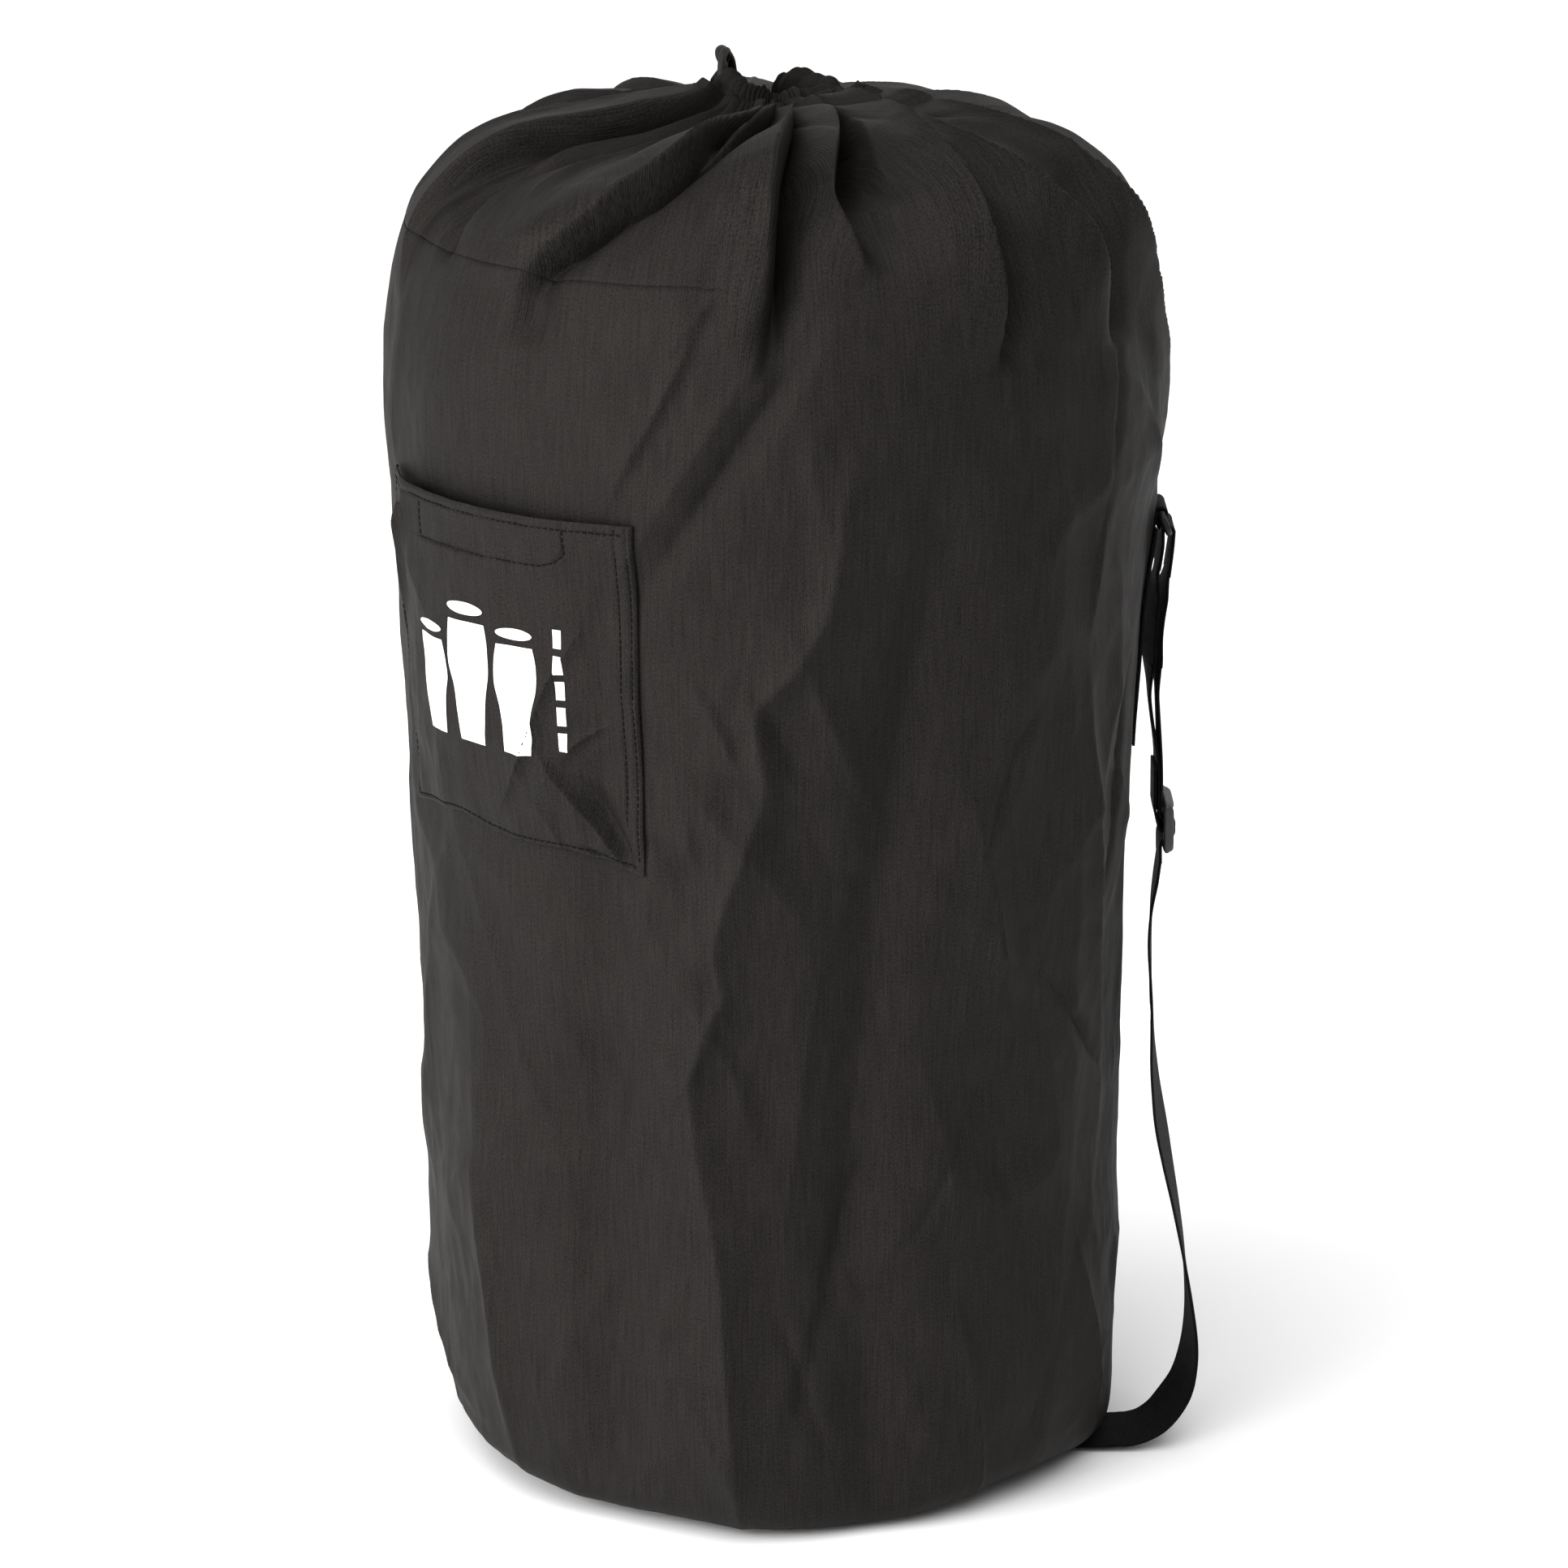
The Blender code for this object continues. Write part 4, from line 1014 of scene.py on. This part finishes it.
POCKET_FOLDS = [
    ("pleat", [(-22.5, .400, 0), (-25, .410, 2.6), (-29, .430, 3.2), (-34, .455, 2.6), (-38, .480, 0)]),
    ("groove", [(-20.8, .398, 0), (-22.5, .408, -2.2), (-25, .422, -2.6), (-28, .440, -2), (-30, .455, 0)]),
    ("crest", [(-20.2, .396, 0), (-21.2, .408, 2.4), (-22.5, .43, 1.8), (-23.5, .46, 0)]),
    ("groove", [(-26, .400, -1.5), (-28, .408, -2.5), (-31, .414, 0)]),
    ("crest", [(-24, .398, 2), (-26.5, .406, 2.4), (-29, .416, 1), (-30, .43, 0)]),
    ("line", [(-34, .405, 0), (-35, .42, 1.2), (-38, .44, 0)]),
    ("line", [(-33, .46, 0), (-30, .475, 1.5), (-24, .49, 0)]),
    ("soft", [(-60, .41, 0), (-58, .43, 1.5), (-60, .46, 0)]),
    ("line", [(-72, .50, 0), (-70, .54, 2.0), (-66, .58, 2.5), (-65, .594, 1)]),
    ("soft", [(-52, .50, 0), (-50, .54, 1.2), (-50, .58, 1)]),
]
POCKET_SHAPES = [shape_of(fold, POCKET_GAIN) for fold in POCKET_FOLDS]


def pocket_surface(az, h, lift=0.0):
    """Outside of the pocket's cloth."""
    az, h = np.broadcast_arrays(np.asarray(az, float), np.asarray(h, float))
    extra = np.zeros(az.size)
    flat_az, flat_h = az.reshape(-1), h.reshape(-1)
    for kind, line_h, line_az, line_up in POCKET_SHAPES:
        inside = (flat_h > line_h[0]) & (flat_h < line_h[-1])
        across = 0.216 * np.radians(flat_az - np.interp(flat_h, line_h, line_az))
        up = np.interp(flat_h, line_h, line_up)
        extra += np.where(inside, up * fold_profile(across, 1.0, kind), 0.0)
    ripple = lattice_noise(flat_az * 0.22, flat_h * 38, 4000, 23)
    extra += 0.0007 * ripple
    stand = pocket_stand(az, h) + 0.0010 + extra.reshape(az.shape)
    return cloth_surface(az, h, stand + lift)


def pocket_seams():
    """Lines of stitching on the pocket, as (azimuth, h) keys."""
    top, bottom = POCKET_H[1], POCKET_H[0]
    left, right = POCKET_AZ[0] + 1.2, POCKET_AZ[1]
    foot = [(az, float(pocket_row(az, 0.0)) + .0035) for az in np.linspace(left, right - 1.2, 12)]
    return {
        "pocket_top_stitch": [(left, top - .0055), (right - 1.2, top - .0055)],
        "pocket_side_stitch_outer": [(right - .9, bottom + .004), (right - .9, top - .002)],
        "pocket_side_stitch_inner": [(right - 2.7, bottom + .008), (right - 2.7, top - .002)],
        "pocket_bottom_stitch": foot,
        "pocket_left_stitch": [(left, bottom + .010), (left, top - .002)],
        "fastener_stitch": [(-58.5, .6005), (-58.5, .580), (-34.0, .580), (-31.5, .583), (-29.8, .589),
                            (-30.0, .607)],
    }


def pressed_in(az, h, lines):
    """Shallow groove that tight stitching pulls into the cloth."""
    nearest = np.full(np.shape(az), 1.0)
    for keys in lines:
        for (az_a, h_a), (az_b, h_b) in zip(keys, keys[1:]):
            way = np.array([np.radians(az_b - az_a) * POCKET_R, h_b - h_a])
            off_x, off_y = np.radians(az - az_a) * POCKET_R, h - h_a
            t = np.clip((off_x * way[0] + off_y * way[1]) / (way @ way), 0, 1)
            nearest = np.minimum(nearest, np.hypot(off_x - t * way[0], off_y - t * way[1]))
    return -0.0007 * bell(nearest, 0.0010)


def make_pocket():
    """Patch pocket with its turned hems, strips and stitching."""
    az = np.linspace(*POCKET_AZ, 330)
    grid_az, share = np.meshgrid(az, np.linspace(0, 1, 320))
    tall = POCKET_H[1] - POCKET_H[0]
    grid_h = pocket_row(grid_az, share)
    edge = np.minimum.reduce([share * tall / 0.0022, (1 - share) * tall / 0.0022,
                              (POCKET_AZ[1] - grid_az) / 0.6])
    tuck = -0.0009 * (1 - ramp(edge, 0, 1)) + pressed_in(grid_az, grid_h, pocket_seams().values())
    points = pocket_surface(grid_az, grid_h, tuck)
    cloth = thicken(grid_mesh("pocket_cloth", points, extra=weave_at(grid_az, grid_h)), 0.0010)
    finish_piece(cloth, CLOTH, nodes=["pocket_panel"])

    strip_az, strip_h = np.linspace(-57, -32, 60), np.linspace(0.582, 0.601, 16)
    grid_az, grid_h = np.meshgrid(strip_az, strip_h)
    hook = thicken(grid_mesh("hook_side", cloth_surface(grid_az, grid_h, 0.0014)), 0.0011)
    finish_piece(hook, PILE, nodes=["pocket_hook_strip"])
    loop = thicken(grid_mesh("loop_side", pocket_surface(grid_az, grid_h, -0.0013)), 0.0011)
    finish_piece(loop, PILE, nodes=["pocket_loop_strip"])

    for name, keys in pocket_seams().items():
        stitches_on(name, lambda u, v, up: pocket_surface(u, v, up - 0.00045), keys, per_span=10)


# ---- strap -----------------------------------------------------------------------------------
CLIMB = math.cos(math.atan(STRAP_LEAN))
LEAN = math.sin(math.atan(STRAP_LEAN))
WIDTH_WAY = np.array([0.0, -CLIMB, LEAN])


def strap_world(points):
    """(outward, climb) points of the strap's plane in the world."""
    points = np.asarray(points, float)
    return np.stack([points[:, 0], STRAP_Y + LEAN * points[:, 1], CLIMB * points[:, 1]], 1)


def web_section(width, thickness, count=26):
    """Closed loop of a flat band with rounded, slightly thicker selvedges."""
    t = np.linspace(0, 1, count)
    x = -0.5 * width + width * t
    edge = np.minimum(t, 1 - t) * width
    half = thickness / 2 * np.sqrt(np.clip(edge / 0.0006, 0.0, 1.0))
    half = half * (0.94 + 0.14 * bell(edge - 0.0022, 0.0012))
    top = np.stack([x, half], 1)
    low = np.stack([x, -half], 1)[::-1]
    return np.vstack([top[1:-1], low[0:1] * [1, 0], low[1:-1], top[0:1] * [1, 0]])


def webbing(name, path, twist=None, spacing=0.0012, ripple=0.0003):
    """Band of webbing along a path in the strap's plane; twist turns its width, in degrees."""
    line = even_line(strap_world(smooth_line(path, 6)), spacing)
    _, side, up = frames_along(line, WIDTH_WAY)
    if twist is not None:
        angle = np.radians(twist(line[:, 2] / CLIMB))[:, None]
        side, up = side * np.cos(angle) + up * np.sin(angle), up * np.cos(angle) - side * np.sin(angle)
    section = web_section(WEB, WEB_T)
    run = np.arange(len(line)) * spacing
    section = np.broadcast_to(section, (len(line), *section.shape)).copy()
    wave = ripple * np.sin(run / 0.021 + 1.3)[:, None] * (2 * section[..., 0] / WEB)
    section[..., 1] += wave
    extra = np.stack([section[..., 0], np.broadcast_to(run[:, None], section.shape[:2]),
                      0 * section[..., 0]], -1)
    return sweep(name, line, side, up, section, extra_scale=extra)


def arc(centre, radius, start, end, steps):
    """Points on an arc, angles in degrees."""
    angles = np.radians(np.linspace(start, end, steps + 1))
    return [(centre[0] + radius * math.cos(a), centre[1] + radius * math.sin(a)) for a in angles]


def at_slider(points):
    """Points given from the slider's centre."""
    return [(SLIDER_X + a, SLIDER_S + b) for a, b in points]


SEWN_LAYER = at_slider([(-0.0065, 0.034), (-0.0065, 0.022), (-0.0065, 0.010)])
SEWN_LOOP = at_slider([(-0.0065, 0.010), (-0.0056, 0.005), (-0.0042, 0.0), (-0.0030, -0.0024),
                       (-0.0010, -0.0036), (0.0016, -0.0034), (0.0027, -0.0020), (0.0027, 0.0020),
                       (0.0016, 0.0034), (-0.0010, 0.0040), (-0.0034, 0.0064), (-0.0046, 0.0095)])
BACK_LOW = at_slider([(-0.0046, 0.0095), (-0.0047, 0.034)]) + [(0.2268, 0.425), (0.2245, 0.441),
                                                              (0.2228, 0.456), (0.2223, 0.474)]
BACK_HIGH = [(0.2223, 0.474), (0.2230, 0.492), (0.2246, 0.510), (0.2270, 0.532)]
FOLD_OVER = [(0.2270, 0.532), (0.2290, 0.546), *arc(RING_OUTER, FOLD_R, 180, 0, 8), (0.2350, 0.545),
             (0.2328, 0.528)]
FRONT_HIGH = [(0.2328, 0.528), (0.2292, 0.511), (0.2268, 0.493), (0.2266, 0.474)]
FRONT_LOW = [(0.2266, 0.474), (0.2275, 0.455), (0.2286, 0.435), (0.2294, 0.417)] \
    + at_slider([(-0.0029, 0.022)])
WEAVE = at_slider([(-0.0029, 0.022), (-0.0029, 0.0105), (-0.0012, 0.0080), (0.0028, 0.0063),
                   (0.0046, 0.0036), (0.0047, 0.0), (0.0046, -0.0036), (0.0028, -0.0063),
                   (-0.0012, -0.0080), (-0.0029, -0.0105), (-0.0029, -0.022)])
RUN_TOP = at_slider([(-0.0029, -0.022)]) + [(0.2280, 0.345), (0.2256, 0.328), (0.2246, 0.308),
                                           (0.2252, 0.288), (0.2262, 0.262)]
RUN_MIDDLE = [(0.2262, 0.262), (0.2272, 0.235), (0.2304, 0.205), (0.2357, 0.175), (0.2415, 0.145),
              (0.2466, 0.115), (0.2500, 0.088), (0.2512, 0.066), (0.2496, 0.048), (0.2448, 0.0315),
              (0.2337, 0.0158)]
RUN_END = [(0.2337, 0.0158), (0.2240, 0.0085), (0.2160, 0.0057), (SEWN_END_X, 0.0050)]
SEWN_END = [(SEWN_END_X, 0.0050), (0.1980, 0.0047), (0.1820, 0.0045)]
TWIST_KEYS = [(0, -9), (0.007, -10), (0.016, -13), (0.028, -13), (0.055, -8), (0.08, -3), (0.105, 0),
              (0.145, 4), (0.19, 9), (0.222, 6), (0.26, 2), (0.31, 4), (0.345, 0)]


RUN_LINE = smooth_line(RUN_TOP + RUN_MIDDLE[1:] + RUN_END[1:] + SEWN_END[1:], 6)
RUN_CUTS = 6 * np.cumsum([len(RUN_TOP) - 1, len(RUN_MIDDLE) - 1, len(RUN_END) - 1])
RUN_TOP, RUN_MIDDLE, RUN_END, SEWN_END = (RUN_LINE[a:b + 1] for a, b in zip(
    [0, *RUN_CUTS], [*RUN_CUTS, len(RUN_LINE)]))


def strap_twist(s):
    """Turn of the strap's width on its free run, in degrees."""
    line = smooth_line(TWIST_KEYS, 8)
    return np.interp(s, line[:, 0], line[:, 1])


def doubled_twist(s):
    """Slight turn of the doubled stretch's width below the ring, in degrees."""
    return -6.0 * ramp(s, 0.455, 0.480) * (1 - ramp(s, 0.512, 0.530))


def blended(name, path, material_nodes=(), twist=None):
    """Webbing along its path from start to end, on no body, its transform baked into the mesh."""
    piece = webbing(name, path, twist)
    finish_piece(piece, WEBBING, None, material_nodes)
    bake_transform(piece)
    return piece


def make_strap():
    """Tab, ring fold, doubled stretch, slider weave, free run and sewn end."""
    climb, across = np.meshgrid(np.linspace(0.428, 0.5566, 90), np.linspace(-WEB / 2, WEB / 2, 26),
                                indexing="ij")
    y, z = STRAP_Y + LEAN * climb - CLIMB * across, CLIMB * climb + LEAN * across
    h = np.interp(z, OUT_Z[:80], OUT_H[:80])
    az = 90 + np.degrees(np.arcsin(y / (np.interp(h, OUT_H, OUT_R) + 0.002)))
    edge = np.clip((WEB / 2 - np.abs(across)) / 0.0006, 0, 1)
    tab = grid_mesh("wall_tab", cloth_surface(az, h, 0.0012 + 0.0003 * edge),
                    extra=np.stack([across, climb, 0 * climb], -1))
    finish_piece(thicken(tab, WEB_T), WEBBING, "bag", ["upper_strap_tab"])
    loop = [(0.2236, 0.5566), (0.2246, 0.562), *arc(RING_INNER, FOLD_R, 180, 0, 8), (0.2306, 0.562),
            (0.2262, 0.5566)]
    finish_piece(webbing("tab_loop", loop, ripple=0.0), WEBBING, "bag", ["upper_tab_loop"])
    blended("ring_fold_webbing", FOLD_OVER)
    blended("back_layer_high", BACK_HIGH, (), lambda s: -doubled_twist(s))
    blended("front_layer_high", FRONT_HIGH, (), doubled_twist)
    blended("back_layer_low", BACK_LOW, ["strap_upper_webbing"],
            lambda s: -doubled_twist(s))
    blended("front_layer_low", FRONT_LOW, (), doubled_twist)
    for name, path in (("sewn_layer", SEWN_LAYER), ("sewn_loop", SEWN_LOOP), ("slider_weave", WEAVE)):
        finish_piece(webbing(name, path, ripple=0.0), WEBBING, "slider")
    blended("run_top", RUN_TOP, ["strap_lower_webbing"], strap_twist)
    finish_piece(webbing("run_middle", RUN_MIDDLE, strap_twist), WEBBING, "strap")
    blended("run_end", RUN_END, (), strap_twist)
    finish_piece(webbing("sewn_end", SEWN_END, strap_twist), WEBBING, "bag", ["strap_sewn_end"])


def rounded_loop(half_x, half_y, corner, steps=8):
    """Closed rounded rectangle, anticlockwise."""
    points = []
    for cx, cy, first in ((half_x - corner, half_y - corner, 0), (corner - half_x, half_y - corner, 90),
                          (corner - half_x, corner - half_y, 180), (half_x - corner, corner - half_y, 270)):
        points += arc((cx, cy), corner, first, first + 90, steps)
    return np.array(points)


def make_ring():
    """Rectangular wire ring that the tab and the strap share."""
    inner, outer = np.array(RING_INNER), np.array(RING_OUTER)
    middle = (inner + outer) / 2
    along = (outer - inner) / np.linalg.norm(outer - inner)
    loop = rounded_loop(np.linalg.norm(outer - inner) / 2, RING_HALF, RING_CORNER)
    plane = middle + loop[:, :1] * along
    centre = strap_world(plane) + loop[:, 1:] * WIDTH_WAY
    centre = even_line(np.vstack([centre, centre[:1]]), 0.0007)[:-1]
    flat = np.cross(np.r_[along[0], LEAN * along[1], CLIMB * along[1]], WIDTH_WAY)
    _, side, up = frames_along(np.vstack([centre[-1:], centre, centre[:1]]), flat)
    around = np.linspace(0, 2 * np.pi, 20, endpoint=False)
    section = RING_WIRE * np.stack([np.cos(around), np.sin(around)], -1)
    sections = np.broadcast_to(section, (len(centre), 20, 2))
    ring = sweep("wire_ring", centre, side[1:-1], up[1:-1], sections, True)
    finish_piece(ring, METAL, "ring", ["strap_ring"])


def bar(bm, start, end, half_out, half_wide, back):
    """Rounded bar between two (climb, width) points, thicker outward than inward."""
    around = np.linspace(0, 2 * np.pi, 20, endpoint=False)
    start, end = np.array(start, float), np.array(end, float)
    count = 14
    way = end - start
    length = np.linalg.norm(way)
    way /= length
    wide = np.array([-way[1], way[0]])
    rings = []
    for i in range(count + 1):
        t = i / count
        taper = math.sqrt(max(0.0, 1 - abs(2 * t - 1) ** 8)) if 0 < t < 1 else 0.25
        centre = start + way * length * t
        ring = []
        for a in around:
            out = half_out * math.sin(a) if math.sin(a) > 0 else back * math.sin(a)
            off = half_wide * math.cos(a)
            place = centre + wide * off * taper
            ring.append(bm.verts.new((out * taper, place[0], place[1])))
        rings.append(ring)
    for first, second in zip(rings, rings[1:]):
        for j in range(20):
            k = (j + 1) % 20
            bm.faces.new((first[j], first[k], second[k], second[j]))
    bm.faces.new(rings[0][::-1])
    bm.faces.new(rings[-1])


def make_slider():
    """Moulded three-bar slider: two outer bars, centre bar and side rails, bowed outward."""
    bm = bmesh.new()
    bar(bm, (-0.0128, -0.0298), (-0.0128, 0.0298), 0.0050, 0.0025, 0.0017)
    bar(bm, (0.0128, -0.0298), (0.0128, 0.0298), 0.0050, 0.0025, 0.0017)
    bar(bm, (0.0, -0.0290), (0.0, 0.0290), 0.0011, 0.0019, 0.0011)
    for side in (-1, 1):
        bar(bm, (-0.0148, side * 0.0282), (0.0148, side * 0.0282), 0.0046, 0.0019, 0.0018)
    bmesh.ops.recalc_face_normals(bm, faces=bm.faces)
    for vert in bm.verts:
        x, climb, wide = vert.co
        spot = strap_world([(SLIDER_X + x, SLIDER_S + climb)])[0] + wide * WIDTH_WAY
        vert.co = spot
    mesh = bpy.data.meshes.new("slider_body")
    bm.to_mesh(mesh)
    bm.free()
    mesh.shade_smooth()
    made = linked("slider_body", mesh)
    remesh = made.modifiers.new("join", "REMESH")
    remesh.mode = "VOXEL"
    remesh.voxel_size = 0.00045
    remesh.use_smooth_shade = True
    smooth = made.modifiers.new("soften", "SMOOTH")
    smooth.factor = 0.5
    smooth.iterations = 3
    apply_modifiers(made)
    finish_piece(made, PLASTIC, "slider", ["tri_glide"])


# ---- printed mark ----------------------------------------------------------------------------
MARK_AZ, MARK_H = (-61.0, -31.5), (0.466, 0.550)


def drum_outline(cx, cy, width, height, waist):
    """Side view of a tall hand drum: bulged above, narrow foot."""
    levels = [(0.0, waist), (0.18, waist * 1.12), (0.42, 0.80), (0.62, 1.0), (0.82, 0.97), (1.0, 0.84)]
    side = smooth_line([(w * width / 2, y * height) for y, w in levels], 6)
    right = [(cx + x, cy + y) for x, y in side]
    left = [(cx - x, cy + y) for x, y in side[::-1]]
    return right + left


def flat_patch(name, outline_points):
    """Filled 2D outline in millimetres, cut into small faces."""
    data = bpy.data.curves.new(name, "CURVE")
    data.dimensions = "2D"
    data.fill_mode = "BOTH"
    spline = data.splines.new("POLY")
    spline.points.add(len(outline_points) - 1)
    for knot, p in zip(spline.points, outline_points):
        knot.co = (p[0], p[1], 0.0, 1.0)
    spline.use_cyclic_u = True
    item = linked(name, data)
    bpy.context.view_layer.update()
    graph = bpy.context.evaluated_depsgraph_get()
    mesh = bpy.data.meshes.new_from_object(item.evaluated_get(graph), depsgraph=graph)
    bpy.data.objects.remove(item)
    bm = bmesh.new()
    bm.from_mesh(mesh)
    bmesh.ops.remove_doubles(bm, verts=bm.verts, dist=0.001)
    for axis in (0, 1):
        low = min(v.co[axis] for v in bm.verts)
        high = max(v.co[axis] for v in bm.verts)
        for cut in np.arange(low + 2.0, high, 2.0):
            spot, way = [0.0, 0.0, 0.0], [0.0, 0.0, 0.0]
            spot[axis], way[axis] = cut, 1.0
            bmesh.ops.bisect_plane(bm, geom=bm.verts[:] + bm.edges[:] + bm.faces[:], plane_co=spot,
                                   plane_no=way, dist=0.0001)
    return bm


def make_mark():
    """Generic mark: three hand drums of different heights and a plain dashed bar beside them."""
    shapes = []
    for cx, width, height in ((15, 27, 66), (47, 31, 84), (80, 27, 74)):
        body = drum_outline(cx, 0, width, height * 0.86, 0.62)
        shapes.append(body)
        top = [(cx + 0.42 * width * math.cos(a), height * 0.955 + 0.045 * height * math.sin(a))
               for a in np.linspace(0, 2 * np.pi, 28, endpoint=False)]
        shapes.append(top)
    for i in range(5):
        y = 4 + i * 15.5
        shapes.append([(104, y), (109, y), (109, y + 11), (104, y + 11)])
    joined = bmesh.new()
    for points in shapes:
        bm = flat_patch("mark_part", points)
        mesh = bpy.data.meshes.new("mark_part")
        bm.to_mesh(mesh)
        bm.free()
        joined.from_mesh(mesh)
    mesh = bpy.data.meshes.new("printed_mark")
    joined.to_mesh(mesh)
    joined.free()
    co = np.array([v.co for v in mesh.vertices])
    az = MARK_AZ[0] + np.degrees(1.08 * co[:, 0] / 1000 / POCKET_R)
    h = MARK_H[0] + co[:, 1] / 1000
    points = pocket_surface(az, h, 0.00026)
    mesh.vertices.foreach_set("co", points.reshape(-1).astype(np.float32))
    attribute = mesh.attributes.new("weave", "FLOAT_VECTOR", "POINT")
    attribute.data.foreach_set("vector", weave_at(az, h).reshape(-1).astype(np.float32))
    made = linked("printed_mark", mesh)
    thicken(made, 0.00022, 1.0)
    finish_piece(made, INK, nodes=["pocket_print"])


# ---- stage and lights ------------------------------------------------------------------------
def make_floor():
    """Plain pale floor."""
    bpy.ops.mesh.primitive_plane_add(size=30.0, location=(0.0, 0.0, -0.0006))
    floor = bpy.context.active_object
    floor.name = "floor"
    n = Nodes("pale_floor")
    place = n.add("ShaderNodeTexCoord").outputs["Object"]
    n.look(n.mix(n.noise(place, 3.0), (0.93, 0.93, 0.93, 1), (0.95, 0.95, 0.95, 1)), 0.9)
    floor.data.materials.append(n.material)


def area_light(name, location, target, size, power):
    """Soft rectangular light."""
    data = bpy.data.lights.new(name, "AREA")
    data.shape = "RECTANGLE"
    data.size, data.size_y = size
    data.energy = power
    made = linked(name, data)
    made.location = location
    made.rotation_euler = (Vector(target) - Vector(location)).to_track_quat("-Z", "Y").to_euler()


def make_lights():
    """Soft light from above, a wide panel on the left, three weak strips behind, pale room."""
    world = bpy.data.worlds.new("studio")
    world.use_nodes = True
    background = world.node_tree.nodes["Background"]
    background.inputs["Color"].default_value = (1, 1, 1, 1)
    background.inputs["Strength"].default_value = 0.30
    bpy.context.scene.world = world
    sun = bpy.data.lights.new("soft_sun", "SUN")
    sun.energy = 3.2
    sun.angle = math.radians(75)
    key = linked("soft_sun", sun)
    key.rotation_euler = Vector((0.15, 0.45, -0.88)).to_track_quat("-Z", "Y").to_euler()
    area_light("left_wall", (-1.60, -1.25, 0.78), (0, 0, 0.45), (2.4, 1.1), 50)
    area_light("rim_left", (-1.3, 2.2, 1.5), (0, 0, 0.8), (0.25, 1.0), 3)
    area_light("rim_right", (1.7, 1.7, 1.4), (0, 0, 0.7), (0.25, 1.4), 6)
    area_light("rim_top", (0.3, 2.3, 1.7), (0, 0, 0.8), (1.8, 0.4), 8)
    scene = bpy.context.scene
    scene.view_settings.view_transform = "Standard"
    scene.view_settings.look = "None"


make_shell()
make_seam_tapes()
make_channel()
make_pocket()
make_mark()
make_strap()
make_ring()
make_slider()
make_floor()
make_lights()
